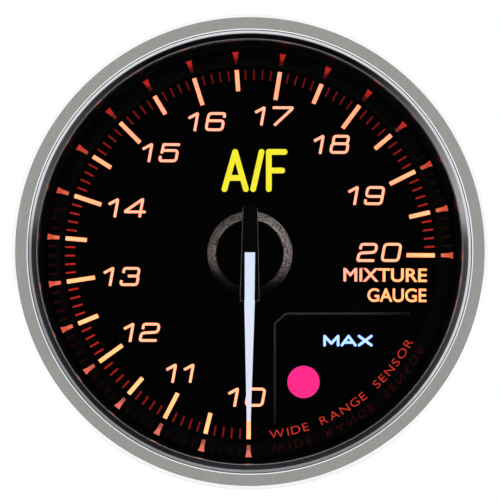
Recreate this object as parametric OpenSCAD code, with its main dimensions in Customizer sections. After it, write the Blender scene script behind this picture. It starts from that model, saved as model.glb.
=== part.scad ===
// Round panel gauge with a lit stepper pointer, 60 mm class.
// +Z is up and the dial faces -Y. The origin is on the gauge's axis, in the plane
// of the bezel's back face, which seats on the panel.
// Each piece is drawn in the face frame: x to the right and y up as the driver sees
// the dial, z towards the driver, with z = 0 at the seat.

/* [Panel fit] */
// Outer diameter of the bezel
bezel_d = 60; // [58.5:0.5:68]
// Width of the bezel's seat on the panel, from the can's register to the bezel's edge
seat_w = 4; // [3.6:0.1:4.4]
// Length of the full-diameter register behind the seat
register_len = 3.2; // [2.4:0.1:5]
// Step down in radius from the register to the rest of the can
can_step = 0.3; // [0.3:0.05:0.6]
// Depth of the can behind the seat
can_depth = 28; // [27.5:0.5:36]

/* [Bezel] */
// Width of the front face with its rounded outer edge
face_w = 1.9; // [1.6:0.05:2.2]
// Width of the lip, from the front face in to the opening
lip_w = 1.4; // [1.1:0.05:1.7]
// Radius of the polished outer edge
edge_r = 0.5; // [0.2:0.1:1]
// Width of the polished chamfer inside the matt face
polish_w = 0.24; // [0.15:0.01:0.35]
// Width of the fine groove beside the polished chamfer
groove_w = 0.2; // [0.1:0.01:0.25]
// Depth of the fine groove
groove_depth = 0.2; // [0.1:0.05:0.3]
// Width of the pale upper slope of the lip
slope_w = 0.42; // [0.3:0.01:0.5]
// Thickness of the lip that holds the lens
lip_t = 1.5; // [1.3:0.1:2.5]
// Height that the lip loses from its front face to its inner edge
lip_fall = 0.9; // [0.7:0.05:1.1]
// Thickness of the rolled lip that grips the housing flange
crimp_t = 0.8; // [0.5:0.1:1.2]
// Width by which the lens laps behind the lip
lens_lap = 1.3; // [1.2:0.1:1.6]

/* [Lens and surround] */
// Thickness of the lens
lens_t = 1.6; // [1:0.1:2.5]
// Thickness of the rubber gasket
gasket_t = 0.6; // [0.4:0.1:1]
// Radial width of the gasket
gasket_w = 0.9; // [0.6:0.1:1.1]
// Width of the surround's foot, from its wall in to the dial
foot_w = 2.67; // [2.4:0.01:2.9]
// Width of the groove round the foot of the surround
foot_groove_w = 0.76; // [0.4:0.02:0.9]
// Depth of the groove round the foot of the surround
foot_groove_depth = 0.35; // [0.1:0.05:0.6]
// Height of the surround's foot above the dial
foot_proud = 0.3; // [0.2:0.05:0.6]
// Thickness of the housing flange
flange_t = 1.2; // [1:0.1:2]
// Gap from the dial's visible edge to the inner ends of the marks on the foot
foot_mark_gap = 0.32; // [0.28:0.02:0.5]
// Gap from the outer ends of the marks on the foot to the groove
foot_mark_margin = 0.07; // [0.05:0.01:0.2]
// Width of the marks on the foot at their inner ends
foot_mark_in_w = 0.56; // [0.3:0.02:0.8]
// Width of the marks on the foot at their outer ends
foot_mark_out_w = 0.95; // [0.5:0.05:1.2]

/* [Dial] */
// Depth of the dial's face behind the front of the bezel
dial_depth = 8.3; // [7.8:0.1:9]
// Thickness of the dial
dial_t = 1; // [0.6:0.1:1.5]
// Gap from the dial's visible edge to the outer ends of the marks
mark_margin = 0.46; // [0.3:0.02:1]
// Length of a full-unit mark
major_len = 3.6; // [3:0.1:4.5]
// Length of a half-unit mark
half_len = 2.7; // [2:0.1:2.9]
// Length of a tenth-unit mark
minor_len = 1.3; // [0.9:0.1:1.8]
// Width of the unit marks
major_w = 0.52; // [0.3:0.02:0.7]
// Width of the tenth-unit marks
minor_w = 0.22; // [0.12:0.02:0.3]
// Angle swept by the whole scale
sweep = 270; // [180:10:300]
// Number of units on the scale
units = 10; // [5:1:12]
// Number of divisions in one unit, an even number
unit_parts = 10; // [4:2:10]
// Diameter of the hole round the pointer's boss
dial_hole_d = 6; // [5.8:0.1:7]
// Radius of the warning lamp's lens
lamp_r = 2.05; // [1.6:0.05:2.3]
// Distance of the warning lamp to the left of the peak window
lamp_left = 5.6; // [5.4:0.05:5.9]
// Height of the warning lamp above the dial's lowest point
lamp_rise = 7.78; // [7.4:0.02:8]
// Width of the peak window
peak_w = 7; // [6:0.1:7.4]
// Height of the peak window
peak_h = 1.9; // [1.5:0.1:2.2]
// Distance of the peak window in from the dial's right edge
peak_inset = 11.48; // [11.1:0.02:11.6]
// Height of the peak window above the warning lamp
peak_rise = 5.15; // [5.1:0.05:5.6]

/* [Lighting] */
// Thickness of the light guide
guide_t = 2; // [1.5:0.1:2.5]
// Thickness of the light guide's rim under the surround
guide_rim_t = 0.7; // [0.5:0.05:1.2]
// Height of the light box
box_h = 5; // [4:0.5:6]
// Wall of the light box
box_wall = 0.9; // [0.7:0.1:1.2]
// Floor of the light box
box_floor = 0.8; // [0.6:0.1:1]
// Radius of the light box's central tube
box_tube_r = 5; // [4.8:0.1:5.5]
// Length of a backlight lamp
led_l = 3.5; // [3:0.1:3.8]
// Width of a backlight lamp
led_w = 2.8; // [2:0.1:3]
// Height of a backlight lamp
led_h = 1.4; // [1:0.1:1.9]
// Distance of the circle of backlight lamps in from the light box's edge
led_inset = 7.1; // [6.7:0.1:7.6]
// Number of places on the circle, one in every step
led_places = 12; // [12:1:12]
// Number of backlight lamps, from three o'clock round the left
led_count = 10; // [6:1:10]

/* [Boards] */
// Thickness of a circuit board
board_t = 1.6; // [1.2:0.1:2]
// Gap between the power board and the can's screw pads
power_board_gap = 0.5; // [0.3:0.1:1]
// Height of the posts under the power board
post_h = 2.9; // [2.6:0.1:4]
// Radius of the posts
post_r = 2.2; // [1.8:0.1:2.4]
// Distance of the posts' centres in from the power board's edge
post_inset = 6.4; // [6:0.1:6.8]
// Distance of the posts above and below the centre
post_y = 7; // [6.6:0.1:7.4]

/* [Pointer] */
// Gap from the pointer's tip to the dial's visible edge
tip_gap = 2.73; // [2.2:0.01:9]
// Width of the blade at the axis
blade_root_w = 1.4; // [1:0.05:1.5]
// Width of the blade where it leaves its cover
blade_mid_w = 1.24; // [0.8:0.02:1.3]
// Width of the blade at its tip
blade_tip_w = 0.5; // [0.2:0.05:0.8]
// Thickness of the blade
blade_t = 0.7; // [0.5:0.05:0.85]
// Length of the cover on each side of the axis
cover_len = 6.1; // [5.8:0.1:8]
// Width of the cover at its plain end
cover_top_w = 1.95; // [1.8:0.05:2.4]
// Width of the cover at the blade's end
cover_end_w = 2.5; // [2.3:0.05:3]
// Thickness of the cover
cover_t = 0.9; // [0.75:0.05:1.1]
// Outer radius of the bevelled hub ring
hub_ring_r = 5.42; // [5:0.02:5.7]
// Radius of the hub cap inside the ring
hub_cap_r = 4.26; // [3.8:0.02:4.5]
// Height of the hub cap
hub_cap_h = 1.6; // [1.5:0.1:1.8]
// Gap between the dial and the hub ring
hub_gap = 0.7; // [0.5:0.1:0.8]
// Radius of the pointer's boss in the cap
boss_r = 1.8; // [1.5:0.1:2]
// Radius of the boss's skirt in the dial's hole
boss_skirt_r = 2.6; // [2.2:0.1:2.7]

/* [Motor] */
// Outer radius of the motor case
motor_r = 14; // [13.8:0.1:14.2]
// Thickness of the motor case, both halves
motor_t = 10; // [10:0.1:10.6]
// Wall of the motor case
motor_wall = 1; // [0.8:0.1:1]
// Distance of the case's centre to the right of the pointer's axis
motor_x = 1; // [0.8:0.1:1.2]
// Distance of the case's centre below the pointer's axis
motor_drop = 4.6; // [4.4:0.1:4.8]
// Gear module
gear_m = 0.2; // [0.2:0.005:0.205]
// Teeth on the output gear
output_teeth = 72; // [60:12:72]
// Teeth on the idler's wheel
idler_teeth = 60; // [48:12:60]
// Teeth on both pinions
pinion_teeth = 12; // [12:1:12]
// Face width of the wheels
wheel_t = 1.4; // [1:0.1:1.5]
// Face width of the pinions
pinion_t = 1.6; // [1.5:0.1:1.7]
// Radius of the output shaft
shaft_r = 0.75; // [0.6:0.05:0.9]
// Radius of the two fixed axles
axle_r = 0.4; // [0.3:0.05:0.5]
// Radius of the rotor magnet
magnet_r = 3; // [2.6:0.1:3.1]
// Length of the rotor magnet
magnet_h = 3.3; // [2.8:0.1:3.4]
// Radius of the coils
coil_r = 1.6; // [1.4:0.05:1.65]
// Length of the coils
coil_l = 5.4; // [4:0.1:5.6]
// Thickness of the stator core
core_t = 1.6; // [1.2:0.1:1.8]

/* [Back] */
// Thickness of the rear seal
seal_t = 0.5; // [0.3:0.1:0.8]
// Thickness of the rear cover
cover_plate_t = 1.5; // [1.2:0.1:2.5]
// Length of the sockets behind the power board
socket_len = 11.4; // [10.8:0.1:14]
// Outer width of the sockets
socket_w = 12; // [11.6:0.1:13]
// Outer height of the sockets
socket_h = 6.5; // [6.3:0.1:7]
// Wall of the sockets
socket_wall = 0.9; // [0.7:0.1:1]
// Depth of the sockets' cavity
cavity_depth = 8.6; // [7.5:0.1:9]
// Length of the pins inside the cavity
pin_reach = 3.9; // [3:0.1:4]
// Distance of the sockets' centres in from the power board's edge
socket_inset = 6.4; // [6.2:0.1:6.6]
// Diameter of the mounting studs
stud_d = 4; // [3.8:0.1:4.4]
// Distance of the studs in from the can's wall
stud_inset = 6.3; // [5.9:0.1:6.5]
// Length of the studs behind the rear cover
stud_len = 15; // [13:0.5:25]

/* [Clamp] */
// Width of the clamp strip
strip_w = 14; // [10:0.5:14.5]
// Thickness of the clamp strip
strip_t = 1.2; // [1:0.1:1.5]
// Distance from the seat to the clamp's feet
panel_t = 3.6; // [3.4:0.1:6]
// Gap between the can and the clamp's legs
leg_gap = 0.6; // [0.4:0.1:0.8]
// Length of the turned-out feet
foot_len = 2.2; // [1.5:0.1:2.2]
// Inner radius of the bends
bend_r = 1.6; // [1:0.1:2]
// Gap between the rear cover and the clamp's bridge
bridge_gap = 3; // [2.6:0.1:3.8]
// Radius of the washers
washer_r = 4.5; // [4:0.1:5]
// Thickness of the washers
washer_t = 0.8; // [0.6:0.1:1.2]
// Radius of the thumb nuts
nut_r = 5; // [4.5:0.1:6]
// Height of the thumb nuts
nut_h = 4.2; // [3:0.1:5]
// Number of knurls on a thumb nut
nut_knurls = 20; // [12:1:28]

/* [Hidden] */
$fn = 96;

// Clearances and the one overrun that all cuts share
fit_gap = 0.1;
run_gap = 0.03;
slip_gap = 0.3;
over = 0.5;

// Colours
matt_grey = [0.56, 0.57, 0.55];
gloss_black = [0.05, 0.05, 0.055];
lit_amber = [1, 0.78, 0.5];
dim_red = [0.6, 0.12, 0.1];
board_green = [0.1, 0.32, 0.2];
plated_steel = [0.72, 0.73, 0.74];

// Stack in front of the seat
flange_back_z = crimp_t;
flange_top_z = flange_back_z + flange_t;
dial_back_z = flange_top_z + guide_rim_t;
dial_z = dial_back_z + dial_t;
foot_z = dial_z + foot_proud;
bezel_h = dial_z + dial_depth;
lens_top_z = bezel_h - lip_t;
lens_back_z = lens_top_z - lens_t;
ledge_z = lens_back_z - gasket_t;

// Radii in front of the seat
bezel_r = bezel_d / 2;
face_in_r = bezel_r - face_w;
view_r = face_in_r - lip_w;
bore_r = view_r + lens_lap;
flange_r = bore_r - fit_gap;
can_r = bezel_r - seat_w;
can_back_r = can_r - can_step;
neck_step = 0.4;
neck_r = can_r + neck_step;
crimp_r = neck_r + fit_gap;

// Stack behind the seat
guide_back_z = dial_back_z - guide_t;
board_z = guide_back_z - box_h;
board_back_z = board_z - board_t;
motor_back_z = board_back_z - motor_t;
can_rear_z = -can_depth;
cover_z = can_rear_z - seal_t;
rear_z = cover_z - cover_plate_t;
power_back_z = cover_z + post_h;
power_z = power_back_z + board_t;

// Can, its screw pads and the seal
can_wall = 1.4;
can_in_r = can_back_r - can_wall;
pad_w = 4.4;
pad_depth = 4.4;
pad_screw_depth = 2.6;
pad_in_r = can_in_r - pad_depth;
pad_screw_r = can_in_r - pad_screw_depth;
pad_count = 4;
pad_turn = 45;
part_r = can_in_r - fit_gap * 2;
led_ring_r = part_r - led_inset;
power_board_r = pad_in_r - power_board_gap;
post_x = power_board_r - post_inset;
socket_y = power_board_r - socket_inset;
stud_x = can_in_r - stud_inset;

// Screws
board_screw_r = 0.7;
board_screw_head_r = 1.25;
board_screw_head_h = 0.8;
board_screw_len = 5;
cover_screw_r = 0.9;
cover_screw_head_r = 1.7;
cover_screw_head_h = 1.1;
cover_screw_len = 7;
screw_slot_w = 0.4;
screw_slot_share = 0.5;

// Surround
dial_view_r = view_r - foot_w;
dial_lap = 0.12;
dial_r = dial_view_r + dial_lap;
rebate_gap = 0.03;
foot_r = view_r - foot_groove_w;
foot_mark_len = foot_w - foot_groove_w - foot_mark_gap - foot_mark_margin;
guide_rim_margin = 0.6;
guide_rim_r = view_r - guide_rim_margin;

// Dial marks
mark_out_r = dial_view_r - mark_margin;
mark_proud = 0.03;
inlay_proud = 0.05;
hole_gap = 0.05;
peak_x = dial_view_r - peak_inset;
lamp_x = peak_x - lamp_left;
lamp_drop = dial_view_r - lamp_rise;
peak_drop = lamp_drop - peak_rise;
half_step = unit_parts / 2;
part_angle = sweep / (units * unit_parts);
scale_start = -90;
lamp_flange_w = 0.35;
cell_wall = 0.7;
cell_gap = 0.25;

// Central passage of the lighting parts and the pointer's lamps
guide_hole_r = dial_hole_d / 2 + slip_gap;
collar_r = 2.2;
collar_h = 0.4;
pointer_led_x = 3.5;
pointer_led_l = 1.6;
pointer_led_w = 0.8;
pointer_led_h = 0.6;

// Chips and tall parts
chip_w = 7;
chip_h = 1;
chip_inset = 9.8;
chip_y = part_r - chip_inset;
cap_can_r = 3.1;
cap_can_h = 6.5;
cap_x = 7;
cap_inset = 6;
cap_y = power_board_r - cap_inset;
cap_groove_h = 0.5;
cap_groove_share = 0.12;
cap_groove_depth = 0.25;
regulator_w = 5.6;
regulator_l = 5.2;
regulator_h = 2.3;
regulator_x = -8.2;
regulator_inset = 6.8;
regulator_drop = power_board_r - regulator_inset;
header_inset = 3.1;
header_x = header_inset - power_board_r;
header_w = 2.5;
header_l = 10;
header_body_h = 2.5;
header_pins_n = 4;
header_pitch = 2.2;
header_reach = 4;
pin_w = 0.64;
pin_gap = 0.05;
pin_solder = 0.8;

// Pointer stack
hub_z = dial_z + hub_gap;
hub_top_z = hub_z + hub_cap_h;
ring_h_share = 0.7;
boss_h_share = 0.6;
skirt_share = 0.6;
boss_top_z = hub_z + hub_cap_h * boss_h_share;
boss_skirt_z = dial_z - dial_t * skirt_share;
boss_cover_t = 0.4;
blade_foot_r = 0.6;
cover_slot_gap = 0.05;
cover_nose = 0.35;
pointer_len = dial_view_r - tip_gap;
hub_edge = 0.25;

// Gear train
wheel_add_share = 0.75;
pinion_add_share = 1;
root_share = 1.25;
backlash_share = 0.15;
pressure_angle = 20;
flank_steps = 2;
output_pitch_r = gear_m * output_teeth / 2;
idler_pitch_r = gear_m * idler_teeth / 2;
pinion_pitch_r = gear_m * pinion_teeth / 2;
idler_turn = -90;
rotor_turn = 24;
idler_pos = (output_pitch_r + pinion_pitch_r) * [cos(idler_turn), sin(idler_turn)];
rotor_pos = idler_pos + (idler_pitch_r + pinion_pitch_r) * [cos(rotor_turn), sin(rotor_turn)];
motor_pos = [motor_x, -motor_drop];
motor_split_z = board_back_z - motor_t / 2;
cavity_r = motor_r - motor_wall;
cavity_top_z = board_back_z - motor_wall;
cavity_back_z = motor_back_z + motor_wall;
end_play = 0.2;
output_gear_z = cavity_top_z - end_play - wheel_t;
level_gap = 0.3;
idler_pinion_z = output_gear_z - (pinion_t - wheel_t) / 2;
idler_wheel_z = idler_pinion_z - wheel_t;
rotor_pinion_z = idler_wheel_z - (pinion_t - wheel_t) / 2;
magnet_top_z = rotor_pinion_z;
magnet_z = magnet_top_z - magnet_h;
core_z = magnet_z + (magnet_h - core_t) / 2;
core_gap = 0.3;
core_w = 1.3;
core_arm_w = 1.5;
core_arm_len = 11;
core_turns = [100, 245];
coil_start = 5.1;
coil_bobbin_share = 0.82;
coil_flange_t = 0.5;
hub_gear_r = 1.6;
bearing_r = 1.8;
bearing_h = 1.2;
axle_sink = 0.6;
terminal_r = 0.35;
terminal_len = 3;
terminal_x = 8;
terminal_y = 4;

// Sockets
sensor_pins_n = 4;
power_pins_n = 3;
socket_pitch = 2.2;
key_w = 1.6;
key_h = 0.6;

// Studs and clamp
stud_r = stud_d / 2;
stud_flange_r = 3.2;
stud_flange_t = 1.4;
stud_tip = 0.5;
leg_in_x = can_r + leg_gap;
bridge_z = rear_z - bridge_gap;
strip_hole_gap = 0.2;
nut_collar_share = 0.62;
nut_collar_h = 1.2;
nut_depth = 0.35;

// Puts a piece that is drawn in the face frame into the part's own frame
module face_frame() {
    rotate([90, 0, 0]) children();
}

// Round plate between two heights
module disc(r, low, high) {
    translate([0, 0, low]) cylinder(r = r, h = high - low);
}

// Ring between two heights
module ring(r_out, r_in, low, high) {
    difference() {
        disc(r_out, low, high);
        disc(r_in, low - over, high + over);
    }
}

// Block centred on its place, between two heights
module block(size_x, size_y, low, high) {
    translate([-size_x / 2, -size_y / 2, low]) cube([size_x, size_y, high - low]);
}

// Bar from one radius to another along +x, between two heights
module spoke(r_in, r_out, width, low, high) {
    translate([r_in, -width / 2, low]) cube([r_out - r_in, width, high - low]);
}

// The four screw places round the can
module at_pads() {
    for (i = [0 : pad_count - 1])
        rotate([0, 0, pad_turn + i * 360 / pad_count]) children();
}

// Both sides of the face, left and right
module both_sides() {
    for (side = [-1, 1]) scale([side, 1, 1]) children();
}

// Points on an arc in a turned profile
function arc_points(centre, r, start, stop, steps) =
    [for (i = [0 : steps]) let (a = start + (stop - start) * i / steps)
        centre + r * [cos(a), sin(a)]];

// Bezel

// Turned profile of the bezel, from its inner edge at the seat outwards
function bezel_profile() = concat(
    [[crimp_r, 0], [bezel_r - edge_r / 2, 0], [bezel_r, edge_r / 2]],
    arc_points([bezel_r - edge_r, bezel_h - edge_r], edge_r, 0, 90, 4),
    [
        [face_in_r, bezel_h],
        [face_in_r - polish_w, bezel_h - polish_w],
        [face_in_r - polish_w - groove_w / 2, bezel_h - polish_w - groove_depth],
        [face_in_r - polish_w - groove_w, bezel_h - polish_w],
        [face_in_r - polish_w - groove_w - slope_w, bezel_h - polish_w - slope_w / 2],
        [view_r, bezel_h - lip_fall],
        [view_r, lens_top_z],
        [bore_r, lens_top_z],
        [bore_r, crimp_t],
        [crimp_r, crimp_t]
    ]);

module bezel() {
    color(matt_grey) face_frame() rotate_extrude() polygon(bezel_profile());
}

module lens() {
    lens_r = bore_r - fit_gap;
    lens_edge = lens_lap / 4;
    color([0.9, 0.95, 1, 0.3]) face_frame() rotate_extrude()
        polygon([[0, lens_back_z], [lens_r, lens_back_z], [lens_r, lens_top_z - lens_edge],
            [lens_r - lens_edge, lens_top_z], [0, lens_top_z]]);
}

module lens_gasket() {
    color([0.08, 0.08, 0.08]) face_frame()
        ring(flange_r, flange_r - gasket_w, ledge_z, lens_back_z);
}

// A place on the scale, counted in parts from its start
module at_part(part) {
    rotate([0, 0, scale_start - part * part_angle]) children();
}

module foot_wedges(grow, low, high) {
    mark_in_r = dial_view_r + foot_mark_gap - grow;
    mark_out = dial_view_r + foot_mark_gap + foot_mark_len;
    in_half = foot_mark_in_w / 2 + grow;
    out_half = foot_mark_out_w / 2 + grow;
    for (part = [0 : half_step : units * unit_parts])
        at_part(part) translate([0, 0, low]) linear_extrude(high - low)
            polygon([[mark_in_r, -in_half], [mark_out + grow, -out_half],
                [mark_out + grow, out_half], [mark_in_r, in_half]]);
}

module dial_surround() {
    color(gloss_black) face_frame() difference() {
        rotate_extrude() polygon([
            [dial_view_r, foot_z],
            [foot_r, foot_z],
            [foot_r, foot_z - foot_groove_depth],
            [view_r, foot_z - foot_groove_depth],
            [view_r, ledge_z],
            [flange_r, ledge_z],
            [flange_r, flange_top_z],
            [guide_rim_r + fit_gap, flange_top_z],
            [guide_rim_r + fit_gap, dial_back_z],
            [dial_r + rebate_gap, dial_back_z],
            [dial_r + rebate_gap, dial_z],
            [dial_view_r, dial_z]
        ]);
        foot_wedges(0, dial_back_z - over, foot_z + over);
    }
}

module foot_marks() {
    color([0.8, 0.2, 0.12]) face_frame() foot_wedges(0, dial_back_z, foot_z + mark_proud);
}

// Dial and its light windows

module major_marks(grow, low, high) {
    for (part = [0 : half_step : units * unit_parts]) {
        length = part % unit_parts == 0 ? major_len : half_len;
        at_part(part)
            spoke(mark_out_r - length - grow, mark_out_r + grow, major_w + 2 * grow, low, high);
    }
}

module minor_marks(grow, low, high) {
    for (part = [0 : units * unit_parts])
        if (part % half_step != 0) at_part(part)
            spoke(mark_out_r - minor_len - grow, mark_out_r + grow, minor_w + 2 * grow, low, high);
}

module at_lamp() {
    translate([lamp_x, -lamp_drop, 0]) children();
}

module at_peak() {
    translate([peak_x, -peak_drop, 0]) children();
}

module dial_plate() {
    color([0.03, 0.03, 0.035]) face_frame() difference() {
        disc(dial_r, dial_back_z, dial_z);
        disc(dial_hole_d / 2, dial_back_z - over, dial_z + over);
        major_marks(0, dial_back_z - over, dial_z + over);
        minor_marks(0, dial_back_z - over, dial_z + over);
        at_lamp() disc(lamp_r + hole_gap, dial_back_z - over, dial_z + over);
        at_peak() block(peak_w + 2 * hole_gap, peak_h + 2 * hole_gap,
            dial_back_z - over, dial_z + over);
    }
}

module major_ticks() {
    color(lit_amber) face_frame() major_marks(0, dial_back_z, dial_z + mark_proud);
}

module minor_ticks() {
    color(dim_red) face_frame() minor_marks(0, dial_back_z, dial_z + mark_proud);
}

module peak_window() {
    color([0.15, 0.2, 0.4]) face_frame() at_peak() {
        block(peak_w, peak_h, dial_back_z, dial_z + mark_proud);
        block(peak_w + 2 * lamp_flange_w, peak_h + 2 * lamp_flange_w, guide_back_z, dial_back_z);
    }
}

module warning_lens() {
    color([1, 0.15, 0.5]) face_frame() at_lamp() {
        disc(lamp_r, dial_back_z, dial_z + inlay_proud);
        disc(lamp_r + lamp_flange_w, guide_back_z, dial_back_z);
    }
}

module light_guide() {
    color([0.95, 0.95, 0.9, 0.5]) face_frame() difference() {
        union() {
            disc(part_r, guide_back_z, dial_back_z);
            disc(guide_rim_r, flange_top_z, dial_back_z);
        }
        disc(guide_hole_r, guide_back_z - over, dial_back_z + over);
        at_lamp() disc(lamp_r + lamp_flange_w + hole_gap, guide_back_z - over, dial_back_z + over);
        at_peak() block(peak_w + 2 * (lamp_flange_w + hole_gap),
            peak_h + 2 * (lamp_flange_w + hole_gap), guide_back_z - over, dial_back_z + over);
    }
}

module at_leds() {
    for (i = [0 : led_count - 1])
        rotate([0, 0, i * 360 / led_places]) translate([led_ring_r, 0, 0]) children();
}

// Outline of the warning lamp's cell and of the peak window's cell, grown by a wall
module cells(grow, low, high) {
    at_lamp() disc(lamp_r + cell_gap + grow, low, high);
    at_peak() block(peak_w + 2 * (cell_gap + grow), peak_h + 2 * (cell_gap + grow), low, high);
}

module light_box() {
    color([0.93, 0.93, 0.9]) face_frame() difference() {
        union() {
            ring(part_r, part_r - box_wall, board_z, guide_back_z);
            disc(part_r - box_wall / 2, board_z, board_z + box_floor);
            ring(box_tube_r + box_wall, box_tube_r, board_z, guide_back_z);
            cells(cell_wall, board_z, guide_back_z);
        }
        disc(box_tube_r, board_z - over, guide_back_z + over);
        cells(0, board_z - over, guide_back_z + over);
        at_leds() block(led_w + 2 * fit_gap, led_l + 2 * fit_gap,
            board_z - over, board_z + box_floor + over);
        at_pads() translate([pad_screw_r, 0, 0])
            disc(board_screw_head_r + slip_gap, board_z - over, board_z + box_floor + over);
    }
}

// Display board and what it carries

module display_board() {
    color(board_green) face_frame() difference() {
        disc(part_r, board_back_z, board_z);
        disc(collar_r + fit_gap, board_back_z - over, board_z + over);
        at_pads() translate([pad_screw_r, 0, 0])
            disc(board_screw_r, board_back_z - over, board_z + over);
        both_sides() for (y = [-terminal_y, terminal_y - 2 * motor_drop])
            translate([terminal_x, y, 0])
                disc(terminal_r, board_back_z - over, board_z + over);
    }
}

module backlight_leds() {
    color([1, 0.6, 0.3]) face_frame() at_leds() block(led_w, led_l, board_z, board_z + led_h);
}

module pointer_leds() {
    color([0.95, 0.95, 1]) face_frame() both_sides() translate([pointer_led_x, 0, 0])
        block(pointer_led_w, pointer_led_l, board_z, board_z + pointer_led_h);
}

module peak_led() {
    color([0.6, 0.7, 1]) face_frame() at_peak()
        block(pointer_led_l, pointer_led_w, board_z, board_z + pointer_led_h);
}

module warning_led() {
    color([1, 0.3, 0.3]) face_frame() at_lamp() block(led_w, led_w, board_z, board_z + led_h);
}

module controller_chip() {
    color([0.12, 0.12, 0.12]) face_frame() translate([0, chip_y, 0])
        block(chip_w, chip_w, board_back_z - chip_h, board_back_z);
}

// A screw whose head stands on z = 0 and whose shank runs down
module pan_screw(r, length, head_r, head_h) {
    difference() {
        union() {
            disc(r, -length, 0);
            disc(head_r, 0, head_h);
        }
        block(2 * head_r + over, screw_slot_w, head_h * screw_slot_share, head_h + over);
    }
}

module board_screws() {
    color(plated_steel) face_frame() at_pads() translate([pad_screw_r, 0, board_z])
        pan_screw(board_screw_r, board_screw_len, board_screw_head_r, board_screw_head_h);
}

// The pin places of the link between the two boards
module at_header(pitch) {
    for (i = [0 : header_pins_n - 1])
        translate([header_x, (i - (header_pins_n - 1) / 2) * pitch, 0]) children();
}

module header_pins() {
    body_low = board_back_z - header_body_h;
    color([0.75, 0.65, 0.35]) face_frame() {
        translate([header_x, 0, 0]) block(header_w, header_l, body_low, board_back_z);
        at_header(header_pitch)
            block(pin_w, pin_w, body_low - header_reach, board_back_z);
    }
}

module header_socket() {
    socket_top = board_back_z - header_body_h - fit_gap;
    color([0.1, 0.1, 0.1]) face_frame() difference() {
        translate([header_x, 0, 0]) block(header_w, header_l, power_z, socket_top);
        at_header(header_pitch)
            block(pin_w + 2 * pin_gap, pin_w + 2 * pin_gap,
                socket_top - header_reach - over, socket_top + over);
    }
}

// Gears

// Involute function, in degrees
function involute_angle(a) = tan(a) * 180 / PI - a;

// Half of a tooth's angle at a radius, in degrees
function tooth_half_angle(r, pitch_r, teeth) =
    let (base_r = pitch_r * cos(pressure_angle))
    90 / teeth * (1 - backlash_share) + involute_angle(pressure_angle)
        - involute_angle(acos(min(1, base_r / max(r, base_r))));

// Radii of the points on one flank, from the root to the tip
function flank_radii(pitch_r, root_r, tip_r) =
    let (base_r = max(root_r, pitch_r * cos(pressure_angle)))
    concat([root_r], [for (i = [0 : flank_steps]) base_r + (tip_r - base_r) * i / flank_steps]);

function gear_outline(teeth, add_share) =
    let (pitch_r = gear_m * teeth / 2, root_r = pitch_r - root_share * gear_m,
        radii = flank_radii(pitch_r, root_r, pitch_r + add_share * gear_m),
        last = len(radii) - 1)
    [for (t = [0 : teeth - 1], side = [-1, 1], i = [0 : last])
        let (r = radii[side < 0 ? i : last - i],
            a = t * 360 / teeth + side * tooth_half_angle(r, pitch_r, teeth))
        r * [cos(a), sin(a)]];

// A gear with a tooth centred on +x
module gear(teeth, add_share, low, high) {
    translate([0, 0, low]) linear_extrude(high - low) polygon(gear_outline(teeth, add_share));
}

module at_idler() {
    translate([idler_pos.x, idler_pos.y, 0]) children();
}

module at_rotor() {
    translate([rotor_pos.x, rotor_pos.y, 0]) children();
}

module output_gear() {
    color([0.92, 0.9, 0.84]) face_frame() difference() {
        union() {
            rotate([0, 0, idler_turn])
                gear(output_teeth, wheel_add_share, output_gear_z, output_gear_z + wheel_t);
            disc(hub_gear_r, output_gear_z - level_gap, output_gear_z + wheel_t);
        }
        disc(shaft_r, output_gear_z - over - level_gap, output_gear_z + wheel_t + over);
    }
}

module idler_gear() {
    pinion_top = idler_pinion_z + pinion_t;
    color([0.92, 0.9, 0.84]) face_frame() at_idler() difference() {
        union() {
            rotate([0, 0, rotor_turn])
                gear(idler_teeth, wheel_add_share, idler_wheel_z, idler_wheel_z + wheel_t);
            rotate([0, 0, idler_turn + 180 + 180 / pinion_teeth])
                gear(pinion_teeth, pinion_add_share, idler_wheel_z, pinion_top);
        }
        disc(axle_r + run_gap, idler_wheel_z - over, pinion_top + over);
    }
}

module rotor_pinion() {
    color([0.92, 0.9, 0.84]) face_frame() at_rotor() difference() {
        rotate([0, 0, rotor_turn + 180 + 180 / pinion_teeth])
            gear(pinion_teeth, pinion_add_share, rotor_pinion_z, rotor_pinion_z + pinion_t);
        disc(axle_r + run_gap, rotor_pinion_z - over, rotor_pinion_z + pinion_t + over);
    }
}

module rotor_magnet() {
    color([0.25, 0.25, 0.27]) face_frame() at_rotor()
        ring(magnet_r, axle_r + run_gap, magnet_z, magnet_top_z);
}

module rotor_axle() {
    color(plated_steel) face_frame() at_rotor()
        disc(axle_r, cavity_back_z - axle_sink, cavity_top_z + axle_sink);
}

module idler_axle() {
    color(plated_steel) face_frame() at_idler()
        disc(axle_r, cavity_back_z - axle_sink, cavity_top_z + axle_sink);
}

module output_shaft() {
    color(plated_steel) face_frame() disc(shaft_r, cavity_back_z - axle_sink + end_play,
        boss_top_z - boss_cover_t);
}

// Motor case, stator and coils

module at_terminals() {
    both_sides() for (y = [-terminal_y, terminal_y - 2 * motor_drop])
        translate([terminal_x, y, 0]) children();
}

module motor_case_front() {
    color([0.85, 0.85, 0.82]) face_frame() difference() {
        union() {
            translate(motor_pos) disc(motor_r, motor_split_z, board_back_z);
            disc(collar_r, board_back_z - over, board_z + collar_h);
        }
        translate(motor_pos) disc(cavity_r, motor_split_z - over, cavity_top_z);
        disc(shaft_r + run_gap, motor_split_z, board_z + collar_h + over);
        at_idler() disc(axle_r, motor_split_z, cavity_top_z + axle_sink);
        at_rotor() disc(axle_r, motor_split_z, cavity_top_z + axle_sink);
        at_terminals() disc(terminal_r, motor_split_z, board_back_z + over);
    }
}

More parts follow.
